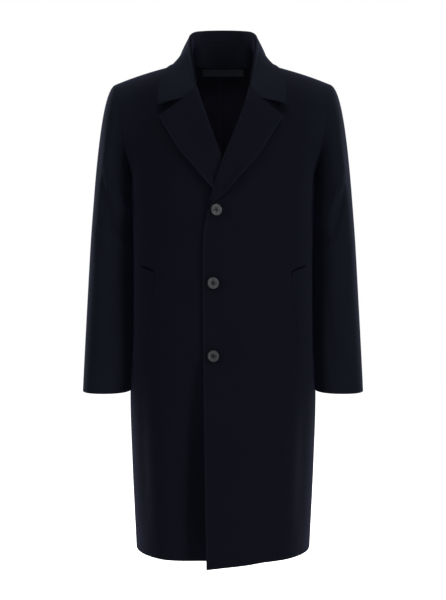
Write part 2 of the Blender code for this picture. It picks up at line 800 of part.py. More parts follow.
def collar_stand(front, back):
    seam = neck_line(front, back)
    half = []
    outs = []
    for share, fold, up, outward in collar_frames():
        if share > STAND_END:
            break
        level = level_of(outward)
        top = inside_point(share, fold, up, outward, 1) - up * SEAM_GAP
        sink = STAND_SINK * (1 - ease(*STAND_RISES, share)) - REST_GAP
        foot = seam(share) - level * (CLOTH + STAND_INSET) - np.array((0, 0, sink))
        half.append([top + (foot - top) * t for t in np.linspace(0, 1, STAND_ROWS)])
        outs.append([level] * STAND_ROWS)
    mirror = np.array((-1, 1, 1))
    grid = both_halves(np.array(half) * mirror, np.array(half))
    out = both_halves(np.array(outs) * mirror, np.array(outs))
    wall("collar_stand", grid, grid + CLOTH * out, WOOL)


# Pockets, buttons, lining and label

def welt_wall(side):
    tag = "left" if side == LEFT else "right"
    grid = []
    for down in np.linspace(0, 1, WELT_ROWS + 1):
        ends = [a + (b - a) * down for a, b in zip(WELT_TOP, WELT_BOTTOM)]
        inner_x, inner_z, outer_x, outer_z = ends
        line = []
        for across in np.linspace(0, 1, WELT_COLUMNS + 1):
            x = inner_x + (outer_x - inner_x) * across
            z = inner_z + (outer_z - inner_z) * across
            line.append(on_front(side, x, z, WELT_THICK + REST_GAP))
        grid.append(line)
    grid = np.array(grid)
    normals = normals_of(grid, np.array((side * 0.5, -1, 0)))
    wall(f"welt_{tag}", grid, grid - WELT_THICK * normals, WOOL)


def button(place):
    """Turned button with a raised rim, a dished middle and four holes."""
    half = BUTTON_THICK / 2
    profile = [
        (0.0, BUTTON_THICK - BUTTON_DISH),
        (BUTTON_RADIUS - BUTTON_RIM - BUTTON_SLOPE, BUTTON_THICK - BUTTON_DISH),
        (BUTTON_RADIUS - BUTTON_RIM, BUTTON_THICK),
        (BUTTON_RADIUS - BUTTON_ROUND, BUTTON_THICK),
        (BUTTON_RADIUS, half),
        (BUTTON_RADIUS - BUTTON_ROUND, 0.0),
        (0.0, 0.0),
    ]
    form = bmesh.new()
    points = [form.verts.new((x, 0, z)) for x, z in profile]
    lines = [form.edges.new(pair) for pair in zip(points, points[1:])]
    bmesh.ops.spin(form, geom=points + lines, axis=(0, 0, 1), cent=(0, 0, 0), steps=BUTTON_SIDES,
                   angle=2 * math.pi, use_merge=True)
    bmesh.ops.remove_doubles(form, verts=form.verts, dist=1e-6)
    thing = add_object(place.name, form, HORN)
    form = bmesh.new()
    for turn in range(4):
        angle = math.pi / 4 + turn * math.pi / 2
        ring = bmesh.ops.create_cone(form, cap_ends=True, segments=HOLE_SIDES, depth=BUTTON_THICK * 3,
                                     radius1=BUTTON_HOLE_RADIUS, radius2=BUTTON_HOLE_RADIUS)
        shift = (BUTTON_HOLE_SPREAD * math.cos(angle), BUTTON_HOLE_SPREAD * math.sin(angle), half)
        bmesh.ops.translate(form, verts=ring["verts"], vec=shift)
    cutter = add_object(f"{place.name}_holes", form, HORN)
    cutter.hide_render = True
    cutter.display_type = "WIRE"
    cutter.parent = thing
    cut = thing.modifiers.new("holes", "BOOLEAN")
    cut.operation = "DIFFERENCE"
    cut.object = cutter
    point, out = panel_frame(FRONT, LEFT, place.x, place.z)
    turn = math.radians(place.turn)
    lift = (BUTTON_RADIUS - BUTTON_ROUND) * math.sin(abs(turn))  # a turned button rests on its edge
    thing.location = Vector(point + out * (BUTTON_GAP + lift))
    facing = Matrix.Rotation(turn, 3, "Z") @ Vector(out)
    thing.rotation_euler = facing.to_track_quat("Z", "Y").to_euler()


def between(start, stop, distance):
    """Column of points at a distance from one column towards the next."""
    return start + unit(stop - start) * distance


def lining_columns(side, back, normals):
    """Points and outward directions of one half of the back, from the neck seam down, column by column."""
    rows = slice(NECK_ROWS + 1, NECK_ROWS + YOKE_ROWS + LINING_SKIRT_ROWS + 1)
    points = []
    outs = []
    for j in range(LINING_COLUMNS):
        x = abs(back[NECK_ROWS, j, 0])
        across = min(x / NECK_POINT_X, 1)
        neck = max(math.sqrt(1 - across * across), LINING_NECK_LIMIT) * LINING_NECK_MARGIN
        row = row_at(BACK, BACK_NECK_SHARE * neck)
        top, out = panel_frame(BACK, side, x, row_height(BACK, row, x))
        points.append(np.concatenate(([top], back[rows, j])))
        outs.append(np.concatenate(([out], normals[rows, j])))
    return np.array(points), np.array(outs)


def lining_wall(backs, normals):
    """Lining on the back's own points, with the soft pleat down its middle."""
    left, left_out = lining_columns(LEFT, backs[LEFT], normals[LEFT])
    right, right_out = lining_columns(RIGHT, backs[RIGHT], normals[RIGHT])
    middle = (left[0] + right[0]) / 2
    pleat_fold = between(right[0], right[1], PLEAT_WIDTH)
    pleat_edge = between(left[0], left[1], PLEAT_RISE)
    columns = np.array([*right[:0:-1], pleat_fold, middle, pleat_edge, *left[1:]])
    outs = np.array([*right_out[:0:-1], right_out[0], left_out[0], left_out[0], *left_out[1:]])
    depths = np.full((len(columns), 1, 1), CLOTH + LINING_GAP + LINING_CLOTH)
    depths[LINING_COLUMNS] += PLEAT_RISE
    wall("back_lining", columns - outs * (CLOTH + LINING_GAP), columns - outs * depths, LINING)


def label_plate():
    outer = []
    inner = []
    depth = CLOTH + LINING_GAP + LINING_CLOTH + PLEAT_RISE + REST_GAP
    for z in np.linspace(LABEL_TOP_Z, LABEL_TOP_Z - LABEL_HEIGHT, 3):
        outer_line = []
        inner_line = []
        for x in np.linspace(-LABEL_WIDTH / 2, LABEL_WIDTH / 2, LABEL_COLUMNS):
            side = LEFT if x >= 0 else RIGHT
            point, out = panel_frame(BACK, side, abs(x), z)
            outer_line.append(point - out * depth)
            inner_line.append(point - out * (depth + LABEL_THICK))
        outer.append(outer_line)
        inner.append(inner_line)
    wall("neck_label", np.array(outer), np.array(inner), WOVEN_LABEL)


def main():
    for thing in list(bpy.data.objects):
        bpy.data.objects.remove(thing)
    fronts = {side: front_grid(side) for side in (LEFT, RIGHT)}
    backs = {side: back_grid(side) for side in (LEFT, RIGHT)}
    back_normals = {}
    for side, tag in ((LEFT, "left"), (RIGHT, "right")):
        panel_wall(f"front_{tag}", FRONT, side, fronts[side])
        back_normals[side] = panel_wall(f"back_{tag}", BACK, side, backs[side])
    tree = body_tree([*fronts.values(), *backs.values()])
    for side in (LEFT, RIGHT):
        sleeve_walls(side, fronts[side], backs[side], tree)
        lapel_wall(side)
        welt_wall(side)
    collar_fall(tree)
    collar_stand(fronts[LEFT], backs[LEFT])
    for place in BUTTONS:
        button(place)
    lining_wall(backs, back_normals)
    label_plate()


main()
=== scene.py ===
import math

import bmesh
import bpy
import numpy as np
from mathutils import Matrix, Vector
from mathutils.bvhtree import BVHTree


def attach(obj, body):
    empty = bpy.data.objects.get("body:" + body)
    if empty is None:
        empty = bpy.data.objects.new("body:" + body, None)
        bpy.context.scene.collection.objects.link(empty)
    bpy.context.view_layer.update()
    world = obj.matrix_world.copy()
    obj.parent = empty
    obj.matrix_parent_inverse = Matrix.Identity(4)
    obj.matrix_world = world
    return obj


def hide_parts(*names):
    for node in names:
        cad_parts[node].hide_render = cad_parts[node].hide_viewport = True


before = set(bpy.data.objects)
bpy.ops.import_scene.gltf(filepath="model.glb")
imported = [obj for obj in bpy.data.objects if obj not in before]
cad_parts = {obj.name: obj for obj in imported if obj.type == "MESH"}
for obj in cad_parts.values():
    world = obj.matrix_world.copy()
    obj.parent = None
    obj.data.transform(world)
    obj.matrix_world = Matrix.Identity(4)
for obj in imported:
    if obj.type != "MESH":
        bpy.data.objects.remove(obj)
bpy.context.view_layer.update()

print("frame loaded with", len(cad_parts), "nodes")

left, right = 1, -1
front, back = -1, 1
sideName = {left: "left", right: "right"}


def ease(start, stop, value):
    share = min(max((value - start) / (stop - start), 0.0), 1.0)
    return share * share * (3 - 2 * share)


def between(start, stop, share):
    return start + (stop - start) * share


def signedPower(value, power):
    return math.copysign(abs(value) ** power, value)


def unit(vectors):
    return vectors / np.linalg.norm(vectors, axis=-1, keepdims=True)


def curve(t, start, leave, stop, arrive):
    # smooth way between two ends, with the direction at each
    return ((1 + 2 * t) * (1 - t) ** 2 * start + t * (1 - t) ** 2 * leave
            + t * t * (3 - 2 * t) * stop + t * t * (t - 1) * arrive)


def lineThrough(rows, column):
    # smooth curve down a table whose first column is z, never overshooting its rows
    heights = np.array([-row[0] for row in rows])
    values = np.array([row[column] for row in rows])
    spans = np.diff(heights)
    steps = np.diff(values) / spans
    slopes = np.concatenate(([steps[0]], np.zeros(len(steps) - 1), [steps[-1]]))
    for k in range(1, len(steps)):
        if steps[k - 1] * steps[k] > 0:
            slopes[k] = 2 * steps[k - 1] * steps[k] / (steps[k - 1] + steps[k])

    def read(z):
        at = -z
        if at <= heights[0]:
            return values[0] + slopes[0] * (at - heights[0])
        if at >= heights[-1]:
            return values[-1] + slopes[-1] * (at - heights[-1])
        k = int(np.searchsorted(heights, at)) - 1
        t = (at - heights[k]) / spans[k]
        return curve(t, values[k], spans[k] * slopes[k], values[k + 1], spans[k] * slopes[k + 1])
    return read


def alongLine(line):
    # reads a line of points by its share of the length
    lengths = np.linalg.norm(np.diff(line, axis=0), axis=1)
    shares = np.concatenate(([0], np.cumsum(lengths))) / lengths.sum()
    return lambda share: np.array([np.interp(share, shares, values) for values in line.T])


def pathThrough(points, steps=40, level=False):
    # smooth path through a few points; level starts along x
    points = np.array(points, float)
    tangents = np.gradient(points, axis=0)
    if level:
        tangents[0][1:] = 0
    line = []
    for k in range(len(points) - 1):
        for t in np.linspace(0, 1, steps, endpoint=False):
            line.append(curve(t, points[k], tangents[k], points[k + 1], tangents[k + 1]))
    line.append(points[-1])
    return alongLine(np.array(line))


# The coat's form, with the same sizes as the solids: metres, each side's x counted from the centre
coat = {
    "cloth": 0.0025,
    "seamLap": 0.00015,  # how far an edge runs past its seam
    "restGap": 0.0006,
    "neckPoint": (0.078, 0.000),
    "shoulderTip": (0.222, -0.047),
    "shoulderSeamY": 0.005,
    "shoulderSoftness": 0.020,
    "shoulderSwell": 0.0024,
    "swellSkew": 1.4,  # moves the swell out towards the sleeve
    "armpit": (0.190, -0.235),
    "armholeReach": 0.92,  # how far round the shoulder's section the armhole lies
    "roundness": 2.4,  # of the level sections, 2 is an ellipse
    "arch": {front: 2.0, back: 3.0},  # the same from the shoulder down
    "hemZ": -1.019,
    "hem": {"drop": 0.014, "swing": 0.180, "levelX": 0.140, "curve": 1.8},
    "backNeckShare": 0.197,  # depth of the back neck, as a row's share
    "frontNeckCurve": 1.6,
    "sections": [  # z, half width, front depth, back depth
        (-0.235, 0.1900, 0.135, 0.122),
        (-0.420, 0.1870, 0.130, 0.112),
        (-0.560, 0.1885, 0.131, 0.122),
        (-0.700, 0.1955, 0.137, 0.136),
        (-0.830, 0.1925, 0.143, 0.146),
        (-1.020, 0.1850, 0.150, 0.155),
    ],
    "edges": [  # z, left front's free edge, right front's
        (-0.0553, 0.0545, 0.0545),
        (-0.0855, 0.0465, 0.0445),
        (-0.1260, 0.0318, 0.0305),
        (-0.1900, 0.0058, 0.0065),
        (-0.2520, -0.0163, -0.0150),
        (-0.2800, -0.0235, -0.0240),
        (-0.3160, -0.0340, -0.0240),
        (-0.3450, -0.0390, -0.0240),
        (-0.4000, -0.0410, -0.0240),
        (-0.8600, -0.0366, -0.0240),
        (-1.0400, -0.0340, -0.0240),
    ],
    "lift": {"overlap": 0.0038, "tip": 0.0028, "fullX": 0.034, "endX": 0.090,
             "heights": (-0.100, -0.185, -0.290, -0.335)},
    "folds": [  # face, side, x, width, depth, top of each soft hanging fold
        (front, right, 0.000, 0.085, 0.038, -0.560),
        (front, right, 0.125, 0.024, -0.004, -0.600),
        (front, left, 0.082, 0.022, 0.003, -0.620),
        (front, left, 0.135, 0.022, -0.002, -0.580),
        (back, right, 0.070, 0.026, 0.008, -0.420),
        (back, right, 0.130, 0.026, -0.004, -0.500),
        (back, left, 0.052, 0.026, 0.007, -0.450),
        (back, left, 0.120, 0.028, 0.006, -0.520),
    ],
}
neckX, neckZ = coat["neckPoint"]
tipX, tipZ = coat["shoulderTip"]
armpitX, armpitZ = coat["armpit"]
gorgeZ, gorgeX = coat["edges"][0][:2]
cloth, seamLap, restGap = coat["cloth"], coat["seamLap"], coat["restGap"]
sectionLine = {"width": lineThrough(coat["sections"], 1), front: lineThrough(coat["sections"], 2),
               back: lineThrough(coat["sections"], 3)}
edgeLine = {left: lineThrough(coat["edges"], 1), right: lineThrough(coat["edges"], 2)}


def rowAt(face, share):
    # a level line of a panel: share 0 is the shoulder seam, 1 the armpit, 2 the hem
    if share > 1:
        z = between(armpitZ, coat["hemZ"], share - 1)
        width = sectionLine["width"](z)
        return {"share": share, "middle": 0.0, "depth": sectionLine[face](z), "width": width,
                "endX": width, "centreZ": z, "endZ": z}
    quarter = share * math.pi / 2
    fall = max(math.cos(quarter), 0.0)
    power = 2 / coat["arch"][face]
    endX = between(armpitX, tipX, fall ** 2)
    reach = coat["armholeReach"] * fall
    return {
        "share": share,
        "middle": coat["shoulderSeamY"] * (1 - share),
        "depth": sectionLine[face](armpitZ) * math.sin(quarter) ** power,
        "width": endX / (1 - reach ** coat["roundness"]) ** (1 / coat["roundness"]),
        "endX": endX,
        "centreZ": between(armpitZ, neckZ, fall ** power),
        "endZ": between(tipZ, armpitZ, (1 - math.cos(2 * quarter)) / 2),
    }


def softReach(reach):
    return (reach + math.hypot(reach, coat["shoulderSoftness"])) / 2


def hemZ(face, x):
    if face == back:
        return coat["hemZ"]
    hem = coat["hem"]
    swing = min(max((hem["levelX"] - x) / hem["swing"], 0), 1)
    return coat["hemZ"] - hem["drop"] * swing ** hem["curve"]


def rowHeight(face, row, x):
    if row["share"] > 1:
        return between(armpitZ, hemZ(face, x), row["share"] - 1)
    fall = softReach(abs(x) - neckX) / softReach(row["endX"] - neckX)
    across = min(max((abs(x) - neckX) / (row["endX"] - neckX), 0), 1)
    bow = math.sin(math.pi * across ** coat["swellSkew"])
    swell = coat["shoulderSwell"] * (1 - row["share"]) ** 2 * bow
    return between(row["centreZ"], row["endZ"], fall) + swell


def rowThrough(face, x, z, halvings=24):
    if z <= armpitZ:
        return rowAt(face, 1 + (z - armpitZ) / (hemZ(face, x) - armpitZ))
    low, high = 0.0, 1.0
    for _ in range(halvings):
        share = (low + high) / 2
        if rowHeight(face, rowAt(face, share), x) > z:
            low = share
        else:
            high = share
    return rowAt(face, (low + high) / 2)


def frontLift(side, x, z):
    # the left front stands off to pass over the right one
    if side == right:
        return 0.0
    lift = coat["lift"]
    top, full, hold, end = lift["heights"]
    height = lift["overlap"] + lift["tip"] * (1 - ease(hold, end, z))
    return height * ease(top, full, z) * (1 - ease(lift["fullX"], lift["endX"], x))


def foldDepth(face, side, x, z):
    total = 0.0
    for foldFace, foldSide, foldX, width, depth, top in coat["folds"]:
        if foldFace == face and foldSide == side:
            total += depth * math.exp(-((x - foldX) / width) ** 2) * ease(top, coat["hemZ"], z)
    return total


def panelPoint(face, side, row, x):
    z = rowHeight(face, row, x)
    facing = max(1 - (abs(x) / row["width"]) ** coat["roundness"], 0) ** (1 / coat["roundness"])
    out = facing * (row["depth"] - foldDepth(face, side, x, z))
    if face == front:
        out += frontLift(side, x, z)
    return np.array((side * x, row["middle"] + face * (out if out > seamLap else -seamLap), z))


def panelFrame(face, side, x, z, step=0.0008):
    # point of a panel and the direction out of it
    def point(dx, dz):
        return panelPoint(face, side, rowThrough(face, x + dx, z + dz), x + dx)
    out = unit(np.cross(point(step, 0) - point(-step, 0), point(0, -step) - point(0, step)))
    return point(0, 0), out if out[1] * face > 0 else -out


def onFront(side, x, z, offset):
    point, out = panelFrame(front, side, x, z)
    return point + out * offset


gorgeShare = rowThrough(front, gorgeX, gorgeZ)["share"]


def innerX(face, side, row, rounds=20):
    # inner end of a panel's level line: neck seam, then free edge or centre-back seam
    if face == back:
        share = min(row["share"] / coat["backNeckShare"], 1)
        return neckX * math.sqrt(1 - share * share) - seamLap
    if row["share"] <= gorgeShare:
        return between(neckX, gorgeX, (row["share"] / gorgeShare) ** coat["frontNeckCurve"])
    x = gorgeX
    for _ in range(rounds):
        x = edgeLine[side](rowHeight(front, row, x))
    return x


# Small shader helper: values combine with + - * /, any other node comes from add()
class Wire:
    def __init__(self, tree, socket):
        self.tree = tree
        self.socket = socket

    def math(self, operation, other=0.0, turned=False):
        pair = [other, self] if turned else [self, other]
        return add(self.tree, "ShaderNodeMath", {"operation": operation}, {0: pair[0], 1: pair[1]})

    def __add__(self, other):
        return self.math("ADD", other)

    def __radd__(self, other):
        return self.math("ADD", other, True)

    def __sub__(self, other):
        return self.math("SUBTRACT", other)

    def __rsub__(self, other):
        return self.math("SUBTRACT", other, True)

    def __mul__(self, other):
        return self.math("MULTIPLY", other)

    def __rmul__(self, other):
        return self.math("MULTIPLY", other, True)

    def __truediv__(self, other):
        return self.math("DIVIDE", other)

    def __rtruediv__(self, other):
        return self.math("DIVIDE", other, True)


def add(tree, kind, settings, sockets, output=0):
    node = tree.nodes.new(kind)
    for name, value in settings.items():
        setattr(node, name, value)
    for name, value in sockets.items():
        if isinstance(value, Wire):
            tree.links.new(value.socket, node.inputs[name])
        else:
            node.inputs[name].default_value = value
    return Wire(tree, node.outputs[output])


def newFinish(name, constants):
    material = bpy.data.materials.new(name)
    material.use_nodes = True
    tree = material.node_tree
    shader = tree.nodes["Principled BSDF"]
    for socket, value in constants.items():
        shader.inputs[socket].default_value = value
    return material, tree, shader


def feed(shader, socket, wire):
    wire.tree.links.new(wire.socket, shader.inputs[socket])


def objectPlace(tree):
    return add(tree, "ShaderNodeTexCoord", {}, {}, 3)


def axisOf(place, axis):
    return add(place.tree, "ShaderNodeSeparateXYZ", {}, {"Vector": place}, "XYZ".index(axis))


def vertexValue(tree, name):
    return add(tree, "ShaderNodeAttribute", {"attribute_name": name}, {}, 2)


def noise(place, scale, detail=2.0, rough=0.5):
    return add(place.tree, "ShaderNodeTexNoise", {}, {
        "Vector": place, "Scale": scale, "Detail": detail, "Roughness": rough})


def bands(place, direction, scale, distortion=0.0, detail=2.0):
    return add(place.tree, "ShaderNodeTexWave", {"bands_direction": direction}, {
        "Vector": place, "Scale": scale, "Distortion": distortion, "Detail": detail}, 1)


def mixColours(share, first, second):
    return add(share.tree, "ShaderNodeMix", {"data_type": "RGBA"}, {0: share, 6: first, 7: second}, 2)


def soften(value, ends):
    return add(value.tree, "ShaderNodeMapRange", {"interpolation_type": "SMOOTHSTEP"}, {
        "Value": value, "From Min": ends[0], "From Max": ends[1]})


def bump(shader, height, strength, distance):
    feed(shader, "Normal", add(height.tree, "ShaderNodeBump", {}, {
        "Strength": strength, "Distance": distance, "Height": height}))


woolLook = {
    "dark": (0.0038, 0.0041, 0.0069, 1),
    "light": (0.0071, 0.0080, 0.0126, 1),
    "paintedLitDark": (0.0047, 0.0054, 0.0087, 1),  # painted light: lighter tones standing in for the light on the sleeves, the collar and pressed edges
    "paintedLitLight": (0.0090, 0.0104, 0.0160, 1),
    "paintedLightTurns": (0.150, 0.225),  # painted light: distances from the middle over which it comes in, on the sleeves
    "edgeHighlight": (0.0060, 0.0015),  # painted highlight along a pressed edge, fading out between these distances from it
    "shadeTone": (0.0010, 0.0012, 0.0020, 1),  # painted shade: inside the collar, in the pockets' mouths and under the notches
    "sewnAt": 0.0062,  # the stitching's distance from a pressed edge
    "sewnWidth": 0.0007,
    "sewnDepth": 0.9,
    "sheen": 0.045,
    "sheenRoughness": 0.42,
    "sheenTint": (0.45, 0.48, 1.0, 1),
    "napScale": 1500.0,
    "fibreScale": (900.0, 900.0, 160.0),
    "cloudScale": 16.0,
    "toneShares": (0.35, 0.40, 0.25),  # of nap, fibres and clouds
    "bump": 0.25,
    "bumpDistance": 0.0006,
    "bumpShare": 0.5,  # of the nap, and as much of the fibres
}


def makeWool(name, look):
    material, tree, shader = newFinish(name, {
        "Roughness": 0.95, "Specular IOR Level": 0.02, "Sheen Weight": look["sheen"],
        "Sheen Roughness": look["sheenRoughness"], "Sheen Tint": look["sheenTint"],
    })
    place = objectPlace(tree)
    brushed = add(tree, "ShaderNodeMapping", {}, {"Vector": place, "Scale": look["fibreScale"]})
    nap = noise(place, look["napScale"])
    fibres = noise(brushed, 1.0, detail=3.0, rough=0.6)
    clouds = noise(place, look["cloudScale"], detail=3.0)
    napShare, fibreShare, cloudShare = look["toneShares"]
    tone = nap * napShare + fibres * fibreShare + clouds * cloudShare
    edge = vertexValue(tree, "edge")
    # painted light: lighter tones away from the middle and along pressed edges
    outer = soften(axisOf(place, "X").math("ABSOLUTE"), look["paintedLightTurns"])
    paintedLightShare = outer.math("MAXIMUM", soften(edge, look["edgeHighlight"]))
    colour = mixColours(paintedLightShare, mixColours(tone, look["dark"], look["light"]),
                        mixColours(tone, look["paintedLitDark"], look["paintedLitLight"]))
    # darkened towards the painted shade tone where a vertex holds painted shade
    feed(shader, "Base Color", mixColours(vertexValue(tree, "inside"), colour, look["shadeTone"]))
    away = (edge - look["sewnAt"]) / look["sewnWidth"]
    sewn = (away * away * -1.0).math("EXPONENT")
    height = nap * look["bumpShare"] + fibres * look["bumpShare"] - sewn * look["sewnDepth"]
    bump(shader, height, look["bump"], look["bumpDistance"])
    return material


liningLook = {
    "dark": (0.0273, 0.0263, 0.0450, 1),
    "light": (0.0429, 0.0413, 0.0700, 1),
    "lowDark": (0.0066, 0.0063, 0.0105, 1),
    "lowLight": (0.0103, 0.0099, 0.0165, 1),
    "heights": (-0.200, -0.010),  # painted light: between these heights the lining turns from its own low tones to lighter ones, offsetting the shade under the stand
    "twillScale": 900.0,
    "twillTurn": 45.0,
    "twillShare": 0.4,  # of the tone, the rest is clouds
    "cloudScale": 30.0,
}


def makeLining(name, look):
    material, tree, shader = newFinish(name, {
        "Roughness": 0.50, "Specular IOR Level": 0.06, "Sheen Weight": 0.01, "Sheen Roughness": 0.3})
    place = objectPlace(tree)
    turned = add(tree, "ShaderNodeMapping", {}, {
        "Vector": place, "Rotation": (0.0, math.radians(look["twillTurn"]), 0.0)})
    twill = bands(turned, "X", look["twillScale"], distortion=0.6, detail=1.0)
    weave = twill * look["twillShare"] + noise(place, look["cloudScale"]) * (1 - look["twillShare"])
    # painted light: lighter towards the neck, offsetting the shade under the stand
    height = soften(axisOf(place, "Z"), look["heights"])
    feed(shader, "Base Color", mixColours(height, mixColours(weave, look["lowDark"], look["lowLight"]),
                                          mixColours(weave, look["dark"], look["light"])))
    bump(shader, twill, strength=0.12, distance=0.0003)
    return material


hornLook = {
    "dark": (0.019, 0.020, 0.022, 1),
    "light": (0.106, 0.109, 0.115, 1),
    "grainScale": (210.0, 210.0, 90.0),
    "grainTurn": (0.0, 0.0, 0.4),
    "fade": (1.45, 1.55),  # painted shade: the lower buttons are darker, as the light falls off downwards
    # painted shade on each button's side wall
    "wallShade": 0.65,
    "roughness": (0.34, 0.16),  # least, and how much more on the streaks
}


def makeHorn(name, look):
    material, tree, shader = newFinish(name, {"Specular IOR Level": 0.34})
    place = objectPlace(tree)
    grain = add(tree, "ShaderNodeMapping", {}, {
        "Vector": place, "Scale": look["grainScale"], "Rotation": look["grainTurn"]})
    streaks = noise(grain, 1.0, detail=4.0, rough=0.6)
    level, slope = look["fade"]
    shade = 1.0 - vertexValue(tree, "wall") * look["wallShade"]
    tone = streaks * (level + axisOf(place, "Z") * slope) * shade
    feed(shader, "Base Color", mixColours(tone, look["dark"], look["light"]))
    least, more = look["roughness"]
    feed(shader, "Roughness", least + streaks * more)
    return material


# painted light: the label's tones are painted lighter than its own colour, offsetting the shade at the
# neck
tapeLook = {
    "dark": (0.1140, 0.1250, 0.1520, 1),
    "light": (0.1770, 0.1960, 0.2390, 1),
    "ribs": 2600.0,
}


def makeTape(name, look):
    material, tree, shader = newFinish(name, {
        "Roughness": 0.75, "Specular IOR Level": 0.05, "Sheen Weight": 0.02})
    ribs = bands(objectPlace(tree), "X", look["ribs"])
    feed(shader, "Base Color", mixColours(ribs, look["dark"], look["light"]))
    bump(shader, ribs, strength=0.3, distance=0.0002)
    return material


threadLook = {
    "dark": (0.0260, 0.0270, 0.0300, 1),
    "light": (0.0600, 0.0620, 0.0680, 1),
    "twist": 2200.0,
}


def makeThread(name, look):
    material, tree, shader = newFinish(name, {"Roughness": 0.8, "Specular IOR Level": 0.1})
    twist = bands(objectPlace(tree), "DIAGONAL", look["twist"])
    feed(shader, "Base Color", mixColours(twist, look["dark"], look["light"]))
    return material


finishes = {
    "wool": makeWool("wool", woolLook),
    "brushed": makeWool("paintedLighterWool", {**woolLook, "paintedLightTurns": (-0.002, -0.001)}),  # painted light: the lighter tones all over, for the collar and stand
    "thread": makeThread("thread", threadLook),
    "lining": makeLining("lining", liningLook),
    "horn": makeHorn("horn", hornLook),
    "label": makeTape("label", tapeLook),
}
print("finishes made:", ", ".join(finishes))


def gridPiece(across, down):
    # flat grid, and each vertex's column and row in it
    form = bmesh.new()
    for attribute in ("edge", "inside"):
        form.verts.layers.float.new(attribute)
    bmesh.ops.create_grid(form, x_segments=across, y_segments=down, size=0.5)
    places = []
    for vert in form.verts:
        vert[form.verts.layers.float["edge"]] = 1.0  # no pressed edge near
        places.append((vert, round((vert.co.x + 0.5) * across), round((0.5 - vert.co.y) * down)))
    return form, places


def turnOutwards(form, outwards):
    # outwards gives the rough direction out of the piece at a face's centre
    form.normal_update()
    facing = sum(face.normal.dot(Vector(outwards(face.calc_center_median()))) for face in form.faces)
    if facing < 0:
        bmesh.ops.reverse_faces(form, faces=form.faces)
    form.normal_update()


def creaseDepths(creases, places, fadePower=0.7):
    # soft troughs (positive) and ridges along short paths, in a piece's own flat sizes
    depths = np.zeros(len(places))
    for points, width, depth in creases:
        path = np.array(points, float)
        steps = np.diff(path, axis=0)
        lengths = np.linalg.norm(steps, axis=1)
        nearest = np.full(len(places), np.inf)
        along = np.zeros(len(places))
        for k, step in enumerate(steps):
            t = np.clip((places - path[k]) @ step / (step @ step), 0, 1)
            gap = np.linalg.norm(places - path[k] - t[:, None] * step, axis=1)
            along = np.where(gap < nearest, (lengths[:k].sum() + t * lengths[k]) / lengths.sum(), along)
            nearest = np.minimum(gap, nearest)
        fade = np.sin(np.pi * along) ** fadePower
        depths += depth * fade * np.exp(-(nearest / width) ** 2)
    return depths


def pushIn(form, depths):
    form.normal_update()
    form.verts.ensure_lookup_table()
    moves = [vert.normal * depth for vert, depth in zip(form.verts, depths)]
    for vert, move in zip(form.verts, moves):
        vert.co -= move


def meshObject(name, form, material):
    mesh = bpy.data.meshes.new(name)
    form.to_mesh(mesh)
    form.free()
    mesh.shade_smooth()
    mesh.materials.append(material)
    piece = bpy.data.objects.new(name, mesh)
    bpy.context.scene.collection.objects.link(piece)
    return piece


def dress(piece, slot, *nodes):
    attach(piece, "root")
    if nodes:
        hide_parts(*nodes)
    return piece


def clothPiece(node, form, slot, thick, finish=None, soft=0.0008):
    # sheet of cloth: the form is its outer side, thickness and rounded edges come from modifiers
    piece = meshObject(f"{node}_cloth", form, finishes[finish or slot])
    shell = piece.modifiers.new("thickness", "SOLIDIFY")
    shell.thickness = thick
    shell.offset = -1
    edge = piece.modifiers.new("softEdge", "BEVEL")
    edge.width = soft
    edge.segments = 2
    edge.limit_method = "ANGLE"
    edge.angle_limit = math.radians(60)
    edge.use_clamp_overlap = True
    return dress(piece, slot, node)


